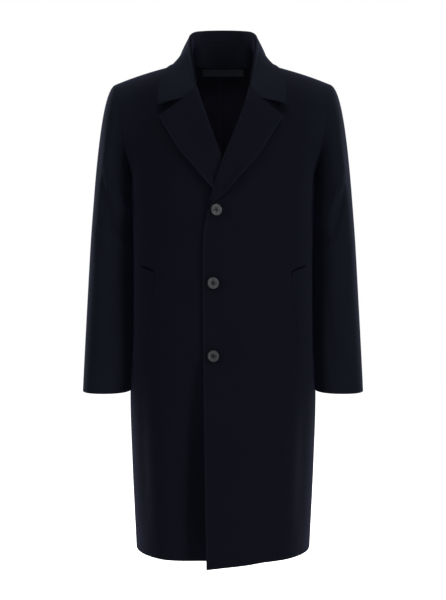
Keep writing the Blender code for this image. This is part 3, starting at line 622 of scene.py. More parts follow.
# Fronts and backs
panelGrid = {
    "columns": 64,
    "rows": {"neck": 12, "yoke": 44, "skirt": 96},
    "edgeBias": 1.25,  # packs columns towards the inner edge
    "creaseOnset": 12,  # creases are at full depth a twelfth of the width in from the edges
    "flat": {front: (0.315, 1.115), back: (0.280, 1.145)},
    "area": {front: 0.284, back: 0.266},
}
panelCreases = {  # path of x and z on each panel, width, depth
    (front, left): [
        ([(0.060, -0.300), (0.100, -0.340), (0.150, -0.350)], 0.016, 0.0014),
        ([(0.012, -0.330), (0.050, -0.372), (0.090, -0.400)], 0.013, 0.0012),
        ([(0.150, -0.150), (0.163, -0.220), (0.160, -0.300)], 0.016, -0.0022),
        ([(0.110, -0.160), (0.135, -0.240), (0.140, -0.330)], 0.018, 0.0020),
        ([(0.020, -0.480), (0.040, -0.640), (0.044, -0.860)], 0.020, -0.0018),
        ([(0.168, -0.640), (0.166, -0.800), (0.160, -0.980)], 0.013, 0.0032),
    ],
    (front, right): [
        ([(0.060, -0.305), (0.100, -0.350), (0.150, -0.362)], 0.016, 0.0014),
        ([(0.040, -0.380), (0.075, -0.440), (0.090, -0.520)], 0.016, 0.0012),
        ([(0.150, -0.150), (0.163, -0.225), (0.158, -0.310)], 0.016, -0.0022),
        ([(0.108, -0.165), (0.133, -0.250), (0.138, -0.340)], 0.018, 0.0020),
        ([(0.168, -0.620), (0.166, -0.800), (0.160, -0.980)], 0.013, 0.0032),
        ([(0.048, -0.590), (0.045, -0.780), (0.043, -1.040)], 0.032, 0.0115),
    ],
    (back, left): [
        ([(0.060, -0.165), (0.110, -0.205), (0.160, -0.200)], 0.012, -0.0026),
        ([(0.172, -0.190), (0.152, -0.290), (0.108, -0.390)], 0.014, -0.0034),
        ([(0.050, -0.372), (0.095, -0.398), (0.150, -0.384)], 0.011, -0.0022),
        ([(0.096, -0.520), (0.102, -0.720), (0.098, -0.960)], 0.013, 0.0036),
        ([(0.150, -0.620), (0.154, -0.760), (0.150, -0.900)], 0.012, -0.0024),
    ],
    (back, right): [
        ([(0.070, -0.150), (0.118, -0.192), (0.164, -0.180)], 0.013, -0.0022),
        ([(0.170, -0.205), (0.146, -0.310), (0.094, -0.420)], 0.015, -0.0030),
        ([(0.034, -0.356), (0.084, -0.380), (0.140, -0.366)], 0.012, -0.0026),
        ([(0.036, -0.600), (0.034, -0.780), (0.040, -1.000)], 0.014, -0.0028),
        ([(0.112, -0.560), (0.118, -0.700), (0.114, -0.880)], 0.012, 0.0032),
    ],
}
notchShade = [([(0.090, -0.083), (0.110, -0.094), (0.134, -0.105)], 0.007, 0.75)]  # painted shadow under the notch: path, width, how dark


def panelShares(face):
    counts = panelGrid["rows"]
    neckShare = coat["backNeckShare"] if face == back else gorgeShare
    neck = neckShare * np.sin(np.linspace(0, math.pi / 2, counts["neck"] + 1))
    yoke = np.linspace(neckShare, 1, counts["yoke"] + 1)[1:]
    skirt = np.linspace(1, 2, counts["skirt"] + 1)[1:]
    return np.concatenate((neck, yoke, skirt))


def angleOf(x, width):
    return math.asin(signedPower(min(x / width, 1.0), coat["roundness"] / 2))


def panelForm(face, side):
    shares = panelShares(face)
    columns = panelGrid["columns"]
    form, places = gridPiece(columns, len(shares) - 1)
    rows = []
    for share in shares:
        row = rowAt(face, share)
        inner = innerX(face, side, row)
        rows.append((row, inner, angleOf(inner, row["width"]), angleOf(row["endX"], row["width"])))
    flat = np.zeros((len(places), 2))
    onset = np.zeros(len(places))
    sewn = form.verts.layers.float["edge"]
    for vert, column, line in places:
        row, inner, start, stop = rows[line]
        angle = between(start, stop, (column / columns) ** panelGrid["edgeBias"])
        x = row["width"] * signedPower(math.sin(angle), 2 / coat["roundness"])
        vert.co = panelPoint(face, side, row, x)
        flat[vert.index] = (x, vert.co.z)
        onset[vert.index] = min(1.0, panelGrid["creaseOnset"] * min(column, columns - column) / columns)
        if face == front:
            vert[sewn] = x - inner
    turnOutwards(form, lambda centre: (0, face, 0))
    if face == front:
        # painted shadow under the notch
        shaded = form.verts.layers.float["inside"]
        for (vert, _, _), shade in zip(places, creaseDepths(notchShade, flat)):
            vert[shaded] = shade
    pushIn(form, creaseDepths(panelCreases[face, side], flat) * onset)
    return form


bodyForm = bmesh.new()
for face, word in ((front, "front"), (back, "back")):
    for side in (left, right):
        panel = clothPiece(f"{word}_{sideName[side]}", panelForm(face, side), "wool", cloth)
        bodyForm.from_mesh(panel.data)
bodyTree = BVHTree.FromBMesh(bodyForm)
bodyForm.free()
print("fronts and backs made")


def keptClear(point, distance, centre, pull=0.0):
    # the point, moved out where it lies nearer to the body than the distance, or drawn in by a share
    place, normal, _, _ = bodyTree.find_nearest(Vector(point))
    if normal.dot(place - Vector(centre)) < 0:
        normal = -normal
    touching = place + normal * distance
    if (Vector(point) - place).dot(normal) >= distance:
        return np.array(Vector(point).lerp(touching, pull))
    return np.array(touching)


# Sleeves
sleeve = {
    "sections": [  # z, inner x, outer x, middle y, half depth
        (-0.270, 0.1880, 0.2645, 0.004, 0.078),
        (-0.360, 0.1870, 0.2730, 0.006, 0.074),
        (-0.450, 0.1870, 0.2795, 0.003, 0.067),
        (-0.570, 0.1880, 0.2870, -0.008, 0.057),
        (-0.682, 0.1930, 0.2930, -0.022, 0.050),
    ],
    "toeIn": 0.10,
    "roundness": 2.3,
    "capSpring": 0.36,
    "capSettle": 1.3,
    "capFall": 0.55,
    "capFlare": 0.18,
    "seams": {"front": 0.27, "back": 0.49},
    "clearance": -0.0008,
    "touchTurn": 0.75,
    "underarm": {  # lies on the body's side
        "turns": (0.04, 0.30),
        "heights": (-0.226, -0.244, -0.255, -0.340),
    },
    "capRows": 40,
    "armRows": 72,
    "settleRows": 10,  # creases are at full depth this far from the armhole
    "armholeSamples": 90,
    "columns": {"top": 96, "under": 44},
    "halfGirth": 0.225,
    "flat": {"top": (0.315, 0.645), "under": (0.195, 0.555)},
    "area": {"top": 0.132, "under": 0.068},
}
sleeveCreases = {  # path of metres round from the inner side and z, width, depth
    right: [
        ([(0.124, -0.205), (0.108, -0.258), (0.078, -0.293), (0.030, -0.330)], 0.013, -0.0075),
        ([(0.134, -0.235), (0.112, -0.292), (0.084, -0.342), (0.050, -0.372)], 0.012, 0.0068),
        ([(0.090, -0.330), (0.065, -0.375), (0.030, -0.405)], 0.010, -0.0030),
        ([(0.150, -0.330), (0.125, -0.400), (0.085, -0.450)], 0.013, 0.0024),
        ([(0.130, -0.440), (0.120, -0.540), (0.124, -0.660)], 0.016, -0.0018),
        ([(0.080, -0.440), (0.088, -0.540), (0.090, -0.660)], 0.015, 0.0018),
        ([(-0.150, -0.240), (-0.122, -0.300), (-0.084, -0.338)], 0.013, -0.0058),
        ([(-0.146, -0.290), (-0.114, -0.350), (-0.072, -0.392)], 0.012, 0.0062),
        ([(-0.130, -0.376), (-0.098, -0.426), (-0.060, -0.456)], 0.011, 0.0044),
        ([(-0.150, -0.420), (-0.130, -0.520), (-0.130, -0.640)], 0.016, 0.0022),
        ([(0.175, -0.120), (0.165, -0.200), (0.150, -0.280)], 0.020, 0.0018),
    ],
    left: [
        ([(0.128, -0.225), (0.110, -0.270), (0.088, -0.305), (0.044, -0.338)], 0.013, -0.0070),
        ([(0.136, -0.255), (0.116, -0.305), (0.094, -0.350), (0.060, -0.386)], 0.012, 0.0064),
        ([(0.098, -0.345), (0.074, -0.388), (0.036, -0.412)], 0.011, -0.0026),
        ([(0.154, -0.350), (0.130, -0.415), (0.092, -0.470)], 0.014, 0.0020),
        ([(0.126, -0.470), (0.118, -0.560), (0.122, -0.650)], 0.016, -0.0016),
        ([(0.076, -0.460), (0.084, -0.550), (0.092, -0.665)], 0.014, 0.0020),
        ([(-0.154, -0.262), (-0.120, -0.318), (-0.090, -0.346)], 0.012, -0.0050),
        ([(-0.142, -0.312), (-0.108, -0.368), (-0.066, -0.398)], 0.012, 0.0058),
        ([(-0.126, -0.404), (-0.090, -0.442), (-0.052, -0.480)], 0.012, 0.0038),
        ([(-0.146, -0.450), (-0.128, -0.530), (-0.132, -0.620)], 0.015, 0.0026),
        ([(0.172, -0.130), (0.168, -0.210), (0.154, -0.300)], 0.019, 0.0020),
    ],
}
sleeveLine = [lineThrough(sleeve["sections"], column) for column in range(1, 5)]


def sleevePoint(side, z, turn):
    inner, outer, middle, halfDepth = [line(z) for line in sleeveLine]
    power = 2 / sleeve["roundness"]
    behind = -halfDepth * signedPower(math.sin(math.pi * turn), power)
    x = (inner + outer) / 2 - (outer - inner) / 2 * signedPower(math.cos(math.pi * turn), power)
    return np.array((side * (x - sleeve["toeIn"] * behind), middle + behind, z))


def armholeLines(side):
    shares = np.linspace(1, 0, sleeve["armholeSamples"])
    halves = {}
    for face in (front, back):
        rows = [rowAt(face, share) for share in shares]
        halves[face] = np.array([panelPoint(face, side, row, row["endX"]) for row in rows])
    middle = np.concatenate((halves[front], halves[back])).mean(axis=0)
    return alongLine(halves[front]), alongLine(halves[back]), middle


def capLine(side, turn, armhole, nudge=0.01):
    # from the armhole over the cap to the top of the arm
    frontHalf, backHalf, middle = armhole
    topZ = sleeve["sections"][0][0]
    leaveFrom = frontHalf(turn) if turn >= 0 else backHalf(-turn)
    outwards = unit((leaveFrom - middle) * np.array((0, 1, 1)))
    leaveFrom = leaveFrom - np.array((side * 2 * seamLap, 0, 0))
    arriveAt = sleevePoint(side, topZ, turn)
    reach = np.linalg.norm(arriveAt - leaveFrom)
    leave = unit(np.array((side, 0, -sleeve["capFall"])) + sleeve["capFlare"] * outwards)
    leave = leave * reach * sleeve["capSpring"]
    arrive = unit(sleevePoint(side, topZ - nudge, turn) - arriveAt) * reach * sleeve["capSettle"]
    steps = np.linspace(0, 1, sleeve["capRows"] + 1)[:-1]
    return [curve(t, leaveFrom, leave, arriveAt, arrive) for t in steps]


def sleeveForm(side, part):
    start, stop = sleeve["seams"]["front"], 2 - sleeve["seams"]["back"]
    if part == "under":
        start, stop = stop, 2 + start
    columns = sleeve["columns"][part]
    armhole = armholeLines(side)
    topZ, innerTop, outerTop = sleeve["sections"][0][:3]
    heights = np.linspace(topZ, sleeve["sections"][-1][0], sleeve["armRows"] + 1)
    lap = seamLap / sleeve["halfGirth"]
    lines = []
    for around in np.linspace(start - lap, stop + lap, columns + 1):
        turn = (around + 1) % 2 - 1
        arm = [sleevePoint(side, z, turn) for z in heights]
        lines.append((turn, capLine(side, turn, armhole) + arm))
    form, places = gridPiece(columns, sleeve["capRows"] + sleeve["armRows"])
    flat = np.zeros((len(places), 2))
    settled = np.zeros(len(places))
    for vert, column, row in places:
        turn, line = lines[column]
        vert.co = line[row]
        flat[vert.index] = (turn * sleeve["halfGirth"], vert.co.z)
        settled[vert.index] = min(1.0, row / sleeve["settleRows"])
    armX = side * (innerTop + outerTop) / 2
    turnOutwards(form, lambda centre: (centre.x - armX, centre.y, 0))
    pushIn(form, creaseDepths(sleeveCreases[side], flat) * settled)
    top, full, hold, end = sleeve["underarm"]["heights"]
    for vert, column, row in places:
        turn = abs(lines[column][0])
        z = vert.co.z
        if turn < sleeve["touchTurn"] and z < top:
            pull = (1 - ease(*sleeve["underarm"]["turns"], turn)) * ease(top, full, z)
            pull *= 1 - ease(hold, end, z)
            vert.co = keptClear(vert.co, sleeve["clearance"], (0, 0, z), pull)
    return form


for side in (left, right):
    for part in ("top", "under"):
        name = f"sleeve_{part}_{sideName[side]}"
        clothPiece(name, sleeveForm(side, part), "wool", cloth)
print("sleeves made")


# Lapels
lapel = {
    "edges": [  # z, left lapel's outer edge, right lapel's
        (-0.1140, 0.1175, 0.1255),
        (-0.1380, 0.1020, 0.1110),
        (-0.1730, 0.0795, 0.0895),
        (-0.2040, 0.0560, 0.0640),
        (-0.2310, 0.0318, 0.0405),
        (-0.2600, 0.0075, 0.0140),
        (-0.2790, -0.0150, -0.0120),
    ],
    "endZ": -0.2790,
    "gorgeGap": 0.0002,
    "rows": 64,
    "roll": [  # across, share of the rise
        (-0.0034, -0.20),
        (-0.0028, 0.50),
        (-0.0012, 0.88),
        (0.0015, 1.00),
    ],
    "rollColumns": 10,
    "leafColumns": 34,
    "rise": (0.0068, 0.0031),
    "riseEndsAt": 0.55,
    "flatFrom": 0.45,
    "curl": 0.0062,  # the free edge stands off a little
    "curlFrom": 0.50,
    "curlEnds": (0.80, 1.00),  # shares of the way down
    "flat": (0.106, 0.253),
    "area": 0.0151,
}
lapelLine = {left: lineThrough(lapel["edges"], 1), right: lineThrough(lapel["edges"], 2)}


def lapelEdge(side, share):
    z = between(lapel["edges"][0][0], lapel["endZ"], share)
    return np.array((lapelLine[side](z), z))


def layOut(form, places, lines):
    # puts a grid on lines of points, and keeps how far each vertex is from the pressed edge
    sewn = form.verts.layers.float["edge"]
    for vert, column, row in places:
        vert.co = lines[row][column]
        vert[sewn] = np.linalg.norm(lines[row][-1] - lines[row][column])


def lapelForm(side):
    rollPath = pathThrough([(across, rise, 0) for across, rise in lapel["roll"]])
    rollColumns, leafColumns = lapel["rollColumns"], lapel["leafColumns"]
    soft, flat = lapel["rise"]
    start = lapel["roll"][-1][0]
    lines = []
    for share in np.linspace(0, 1, lapel["rows"] + 1):
        rollZ = between(gorgeZ - lapel["gorgeGap"], lapel["endZ"], share)
        roll = np.array((edgeLine[side](rollZ), rollZ))
        edge = lapelEdge(side, share)
        width = np.linalg.norm(edge - roll)
        across = (edge - roll) / width
        rise = between(soft, flat, ease(0, lapel["riseEndsAt"], share))
        curl = lapel["curl"] * (1 - ease(*lapel["curlEnds"], share))
        line = []
        for step in np.linspace(0, 1, rollColumns + 1)[:-1]:
            reach, lift, _ = rollPath(step)
            line.append(onFront(side, *(roll + across * reach), lift * rise))
        for step in np.linspace(0, 1, leafColumns + 1):
            lift = between(rise, flat, ease(0, lapel["flatFrom"], step))
            lift += curl * ease(lapel["curlFrom"], 1, step)
            line.append(onFront(side, *(roll + across * between(start, width, step)), lift))
        lines.append(line)
    form, places = gridPiece(rollColumns + leafColumns, lapel["rows"])
    layOut(form, places, lines)
    turnOutwards(form, lambda centre: (0, front, 0))
    return form


for side in (left, right):
    clothPiece(f"lapel_{sideName[side]}", lapelForm(side), "wool", cloth)
print("lapels made")


# Collar: stations run from the centre back to the gorge,
# columns from the inside over the fold to the edge
collar = {
    "cloth": 0.0030,
    "fold": [  # x, y, z
        (0.0000, 0.0720, 0.0680),
        (0.0400, 0.0645, 0.0665),
        (0.0615, 0.0360, 0.0610),
        (0.0680, -0.0020, 0.0440),
        (0.0650, -0.0430, 0.0040),
    ],
    "edge": [  # x, y, z, how much further the right leaf reaches
        (0.0000, 0.1000, -0.0280, 0.0),
        (0.0550, 0.0880, -0.0250, 0.0),
        (0.0900, 0.0500, -0.0150, 0.0),
        (0.0950, 0.0080, -0.0030, 0.0),
        (0.1130, -0.0350, -0.0270, 0.001),
        (0.1240, -0.0700, -0.0580, 0.003),
        (0.1250, -0.0880, -0.0905, 0.005),
    ],
    "notch": 0.38,  # share of the gorge's length
    "notchColumn": 0.5,
    "gorgeRise": 0.0068,
    "gap": 0.0014,
    "foldHalfWidth": 0.0042,
    "foldDrop": 0.0036,
    "insideDrop": (0.0280, 0.0040),  # at the centre back and at the gorge
    "insideLean": 0.0040,
    "bulge": 0.0025,
    "curl": 0.0085,
    "curlFrom": 0.45,
    "insideShade": (0.0, 1.0),  # painted shade on the collar's inside, at the centre back and at the sides
    # shares of the way round between which each of these changes
    "curlTurns": (0.55, 0.80),
    "shadeTurns": (0.20, 0.42),
    "foldTips": (0.35, 1.00),
    "insideShortens": (0.45, 0.85),
    "leanEnds": (0.50, 0.15),
    "leafFlattens": (0.60, 0.90),
    "notchBends": (0.72, 1.00),
    "gorgeTurns": (0.80, 1.00),
    "stations": 64,
    "insideColumns": 8,
    "foldColumns": 10,
    "leafColumns": 32,
    "seamSamples": 12,
    "clearFrom": 0.04,  # share of the leaf from which it is kept off the body
    "smoothing": (4, 0.5),  # rounds, factor
    "flat": (0.612, 0.133),
    "area": 0.051,
}
stand = {
    "end": 0.76,  # share of the way round
    "rows": 10,
    "sink": 0.0068,  # its foot lies this far under the neck seam at the back
    "inset": 0.0052,
    "rises": (0.30, 0.55),
    "neckY": 0.01,  # middle of the neck
    "seamSamples": 30,
    "flat": (0.317, 0.056),
    "area": 0.0110,
}


def gorgePoint(side, share, lower):
    start = np.array((gorgeX, gorgeZ))
    stop = lapelEdge(side, 0)
    along = unit(stop - start)
    return between(start, stop, share) + np.array((along[1], -along[0])) * lower


def collarFrames(nudge=0.01):
    # share, fold point, direction out of the fold, direction to the outside
    gorge, out = panelFrame(front, left, gorgeX, gorgeZ)
    gorge = gorge + out * collar["gorgeRise"]
    seam = unit(onFront(left, *gorgePoint(left, collar["notch"], 0), collar["gorgeRise"]) - gorge)
    line = pathThrough([*collar["fold"], gorge], level=True)
    frames = []
    for share in np.linspace(0, 1, collar["stations"] + 1):
        blend = ease(*collar["foldTips"], share)
        up = unit(between(np.array((0, 0, 1)), out, blend))
        tangent = line(min(share + nudge, 1)) - line(max(share - nudge, 0))
        outward = unit(np.cross(up, tangent))
        outward = unit(between(outward, seam, ease(*collar["gorgeTurns"], share)))
        if share == 0:
            outward = np.array((0.0, 1.0, 0.0))
        frames.append((share, line(share), up, outward))
    return frames


def insidePoint(share, fold, up, outward, drop):
    depth = between(*collar["insideDrop"], ease(*collar["insideShortens"], share))
    lean = collar["foldHalfWidth"] + collar["insideLean"] * ease(*collar["leanEnds"], share) * drop
    return fold - outward * lean - up * between(collar["foldDrop"], depth, drop)


def insideShade(share):
    return between(*collar["insideShade"], ease(*collar["shadeTurns"], share))


def gorgeSeam(side, lying):
    # the leaf's seam to the lapel, as far as the notch
    points = []
    for step in np.linspace(0, collar["notch"], collar["seamSamples"]):
        rise = between(lapel["rise"][0], lying, ease(0, collar["notch"], step))
        points.append(onFront(side, *gorgePoint(side, step, -lapel["gorgeGap"]), rise))
    return alongLine(np.array(points))


def collarHalf(side, frames):
    mirror = np.array((side, 1, 1))
    further = 1 if side == right else 0
    edge = pathThrough([(x + more * further, y, z) for x, y, z, more in collar["edge"]], level=True)
    lying = collar["cloth"] + collar["gap"]
    seam = gorgeSeam(side, lying)
    kink = collar["notchColumn"]
    wide, drop = collar["foldHalfWidth"], collar["foldDrop"]
    half = []
    for share, fold, up, outward in frames:
        line = [insidePoint(share, fold, up, outward, step) * mirror
                for step in np.linspace(1, 0, collar["insideColumns"] + 1)[:-1]]
        for turn in np.linspace(math.pi, 0, collar["foldColumns"] + 1)[:-1]:
            point = fold + outward * wide * math.cos(turn) + up * drop * (math.sin(turn) - 1)
            line.append(point * mirror)
        start = (fold + outward * wide - up * drop) * mirror
        stop = keptClear(edge(share) * mirror, lying, (0, 0, armpitZ))
        bend = ease(*collar["notchBends"], share)
        bulge = collar["bulge"] * (1 - ease(*collar["leafFlattens"], share))
        curl = collar["curl"] * ease(*collar["curlTurns"], share)
        for step in np.linspace(0, 1, collar["leafColumns"] + 1):
            point = between(start, stop, step) + outward * mirror * bulge * 4 * step * (1 - step)
            if step < kink:
                ending = seam(step / kink)
            else:
                ending = between(seam(1), stop, (step - kink) / (1 - kink))
            point = between(point, ending, bend)
            if step > collar["clearFrom"]:
                stands = lying + curl * ease(collar["curlFrom"], 1, step)
                point = keptClear(point, stands, (0, 0, armpitZ))
            line.append(point)
        half.append(line)
    return half


def collarForm():
    frames = collarFrames()
    lines = collarHalf(right, frames)[:0:-1] + collarHalf(left, frames)
    lastRow, lastColumn = len(lines) - 1, len(lines[0]) - 1
    form, places = gridPiece(lastColumn, lastRow)
    layOut(form, places, lines)
    # painted shade on the inside of the collar
    shaded = form.verts.layers.float["inside"]
    crest = collar["insideColumns"] + collar["foldColumns"] // 2
    for vert, column, row in places:
        if column < crest:
            vert[shaded] = insideShade(abs(2 * row / lastRow - 1))
    leafFrom = collar["insideColumns"] + collar["foldColumns"]
    leaf = [vert for vert, column, row in places
            if leafFrom < column < lastColumn - 1 and 1 < row < lastRow - 1]
    rounds, factor = collar["smoothing"]
    for _ in range(rounds):
        bmesh.ops.smooth_vert(form, verts=leaf, factor=factor,
                              use_axis_x=True, use_axis_y=True, use_axis_z=True)
    form.normal_update()
    backEdge = next(vert for vert, column, row in places if (column, row) == (lastColumn, lastRow // 2))
    if backEdge.normal.y < 0:
        bmesh.ops.reverse_faces(form, faces=form.faces)
    return form


def neckLine():
    # neck seam of the left side, from the centre back to the gorge
    behind = np.linspace(coat["backNeckShare"], 0, stand["seamSamples"])
    before = np.linspace(0, gorgeShare, stand["seamSamples"])[1:]
    points = []
    for face, shares in ((back, behind), (front, before)):
        for share in shares:
            row = rowAt(face, share)
            points.append(panelPoint(face, left, row, innerX(face, left, row)))
    points[0][0] = 0
    return alongLine(np.array(points))


def standForm():
    seam = neckLine()
    half = []
    for share, fold, up, outward in collarFrames():
        if share > stand["end"]:
            break
        level = unit(outward * np.array((1, 1, 0)))
        top = insidePoint(share, fold, up, outward, 1) + up * seamLap
        sink = stand["sink"] * (1 - ease(*stand["rises"], share)) - restGap
        foot = seam(share) - level * (cloth + stand["inset"]) - np.array((0, 0, sink))
        half.append([between(top, foot, t) for t in np.linspace(0, 1, stand["rows"] + 1)])
    lines = [[point * np.array((-1, 1, 1)) for point in line] for line in half[:0:-1]] + half
    lastRow = len(lines) - 1
    form, places = gridPiece(stand["rows"], lastRow)
    # the stand gets the same painted shade towards its ends
    shaded = form.verts.layers.float["inside"]
    for vert, column, row in places:
        vert.co = lines[row][column]
        vert[shaded] = insideShade(abs(2 * row / lastRow - 1) * stand["end"])
    turnOutwards(form, lambda centre: (-centre.x, stand["neckY"] - centre.y, 0))
    return form


# the collar and its stand are painted lighter all over, standing in for the light on them
collarFall = clothPiece("collar_fall", collarForm(), "wool", collar["cloth"], finish="brushed")
collarStand = clothPiece("collar_stand", standForm(), "wool", cloth, finish="brushed")
print("collar made")


# Slanted welt pockets
welt = {
    "top": (0.1385, -0.4265, 0.1700, -0.4165),  # inner x, inner z, outer x, outer z
    "bottom": (0.1545, -0.5700, 0.1790, -0.5660),
    "thick": 0.0020,
    "soft": 0.0007,
    "proud": (0.0030, 0.0006),  # height over the front at the top edge and along the rest
    "topShare": 0.10,
    "mouth": 0.0034,  # height of the pocket's mouth, a strip painted dark as painted shade, over the top edge
    "mouthRows": 2,
    "mouthNarrows": 0.9,  # share of that height from one of its rows to the next
    "mouthCurve": 0.5,
    "mouthProud": 0.5,  # share of the height along the rest
    "rows": 60,
    "columns": 12,
    "flat": (0.047, 0.154),
    "area": 0.0070,
}


def weltForm(side):
    # the first rows are the pocket's mouth, painted dark as painted shade, the others the welt from its
    # top edge down
    mouthRows = welt["mouthRows"]
    form, places = gridPiece(welt["columns"], welt["rows"] + mouthRows)
    shaded = form.verts.layers.float["inside"]
    top, rest = welt["proud"]
    for vert, column, row in places:
        down = max(row - mouthRows, 0) / welt["rows"]
        ends = [between(high, low, down) for high, low in zip(welt["top"], welt["bottom"])]
        share = column / welt["columns"]
        x = between(ends[0], ends[2], share)
        z = between(ends[1], ends[3], share)
        proud = between(top, rest, ease(0, welt["topShare"], down))
        if row < mouthRows:
            bow = math.sin(math.pi * share) ** welt["mouthCurve"]
            z += welt["mouth"] * (1 - welt["mouthNarrows"] * row) * bow
            proud = rest * welt["mouthProud"]
            vert[shaded] = 1.0
        vert.co = onFront(side, x, z, proud)
    turnOutwards(form, lambda centre: (side, front, 0))
    return form


for side in (left, right):
    name = f"welt_{sideName[side]}"
    clothPiece(name, weltForm(side), "wool", welt["thick"], soft=welt["soft"])
print("pocket welts made")


# Lining at the upper back, with its centre pleat, and the plain label on it
lining = {
    "cloth": 0.0010,
    "gap": 0.0010,
    "soft": 0.0003,
    "bottomShare": 1.265,
    "halfWidth": 0.156,
    "neckMargin": 1.06,
    "neckLimit": 0.35,
    "pleatWidth": 0.016,
    "pleatRise": 0.0030,
    "pleatLap": 0.001,  # past the middle
    "pleatCurve": 0.5,
    "rows": 80,
    "columns": 156,
    "flat": (0.360, 0.470),
    "area": 0.147,
}
label = {
    "width": 0.087,
    "height": 0.0152,
    "topZ": -0.0065,
    "thick": 0.0008,
    "soft": 0.0002,
    "columns": 48,
    "rows": 10,
    "flat": (0.087, 0.026),
}
liningDepth = cloth + lining["gap"] + lining["cloth"]


def insideBack(x, z, depth):
    point, out = panelFrame(back, left if x >= 0 else right, abs(x), z)
    return point - out * depth


def liningForm():
    form, places = gridPiece(lining["columns"], lining["rows"])
    for vert, column, row in places:
        x = lining["halfWidth"] * (2 * column / lining["columns"] - 1)
        across = min(abs(x) / neckX, 1)
        neck = max(math.sqrt(1 - across * across), lining["neckLimit"]) * lining["neckMargin"]
        share = between(coat["backNeckShare"] * neck, lining["bottomShare"], row / lining["rows"])
        pleat = 0.0
        if -lining["pleatWidth"] < x <= lining["pleatLap"]:
            pleat = lining["pleatRise"] * (1 - abs(x) / lining["pleatWidth"]) ** lining["pleatCurve"]
        vert.co = insideBack(x, rowHeight(back, rowAt(back, share), abs(x)), liningDepth + pleat)
    turnOutwards(form, lambda centre: (0, front, 0))
    return form


def labelForm():
    form, places = gridPiece(label["columns"], label["rows"])
    depth = liningDepth + lining["pleatRise"] + restGap + label["thick"]
    for vert, column, row in places:
        x = label["width"] * (column / label["columns"] - 0.5)
        vert.co = insideBack(x, label["topZ"] - label["height"] * row / label["rows"], depth)
    turnOutwards(form, lambda centre: (0, front, 0))
    return form


backLining = clothPiece("back_lining", liningForm(), "lining", lining["cloth"], soft=lining["soft"])
neckLabel = clothPiece("neck_label", labelForm(), "label", label["thick"], soft=label["soft"])
print("lining and label made")


# Buttons: turned, with a raised rim, a dished middle, four holes and crossed thread
button = {
    "places": [  # x, z, turn
        (-0.0120, -0.2960, -26.0),
        (-0.0190, -0.4440, -13.0),
        (-0.0190, -0.5920, -10.0),
    ],
    "gap": 0.0003,
    "restsAt": 0.0108,  # radius of the underside's edge
    "profile": [(0.0000, 0.0030), (0.0058, 0.0030), (0.0071, 0.0032), (0.0080, 0.0042), (0.0091, 0.0046),
                (0.0102, 0.0044), (0.0111, 0.0037), (0.0117, 0.0027), (0.0119, 0.0018), (0.0116, 0.0008),
                (0.0108, 0.0000), (0.0000, 0.0000)],  # radius, height
    "wall": (0.0104, 0.0116),  # radii between which the face turns into the side
    "steps": 80,
    "sharpAngle": 38.0,
    "holeRadius": 0.0018,
    "holeSpread": 0.0028,
    "holeSides": 18,
    "drillLength": 0.020,
    "threadRadius": 0.00028,
    "threadRises": (0.30, 0.42),  # one strand passes over the other
    "threadSides": 10,
    "threadSteps": 16,
    "stemRadius": 0.0015,
    "stemSides": 20,
}


def buttonMatrix(x, z, turn):
    point, out = panelFrame(front, left, x, z)
    lift = button["restsAt"] * math.sin(math.radians(abs(turn)))  # a turned button rests on its edge
    facing = np.array(Matrix.Rotation(math.radians(turn), 3, "Z") @ Vector(out))
    across = unit(np.cross((0, 0, 1), facing))
    up = np.cross(facing, across)
    turned = Matrix((across, up, facing)).transposed().to_4x4()
    return Matrix.Translation(point + out * (button["gap"] + lift)) @ turned, lift


def addRod(form, sides, radius, length, place):
    bmesh.ops.create_cone(form, cap_ends=True, segments=sides, radius1=radius, radius2=radius,
                          depth=length, matrix=Matrix.Translation(place))


def buttonForm(matrix):
    form = bmesh.new()
    wall = form.verts.layers.float.new("wall")
    points = []
    for radius, height in button["profile"]:
        points.append(form.verts.new((radius, 0, height)))
        points[-1][wall] = ease(*button["wall"], radius)
    edges = [form.edges.new(pair) for pair in zip(points, points[1:])]
    bmesh.ops.spin(form, geom=points + edges, cent=(0, 0, 0), axis=(0, 0, 1), dvec=(0, 0, 0),
                   angle=2 * math.pi, steps=button["steps"], use_merge=True)
    bmesh.ops.remove_doubles(form, verts=form.verts, dist=0.000001)
    bmesh.ops.recalc_face_normals(form, faces=form.faces)
    bmesh.ops.transform(form, matrix=matrix, verts=form.verts)
    return form


def holePlaces():
    spread = button["holeSpread"]
    return [(spread, 0), (0, spread), (-spread, 0), (0, -spread)]


def cutHoles(piece, matrix):
    form = bmesh.new()
    for x, y in holePlaces():
        addRod(form, button["holeSides"], button["holeRadius"], button["drillLength"], (x, y, 0))
    bmesh.ops.transform(form, matrix=matrix, verts=form.verts)
    cutter = meshObject("holeCutter", form, finishes["horn"])
    cut = piece.modifiers.new("holes", "BOOLEAN")
    cut.operation = "DIFFERENCE"
    cut.solver = "EXACT"
    cut.object = cutter
    drilled = bpy.data.meshes.new_from_object(piece.evaluated_get(bpy.context.evaluated_depsgraph_get()))
    piece.modifiers.clear()
    piece.data = drilled
    drilled.set_sharp_from_angle(angle=math.radians(button["sharpAngle"]))
    bpy.data.objects.remove(cutter)


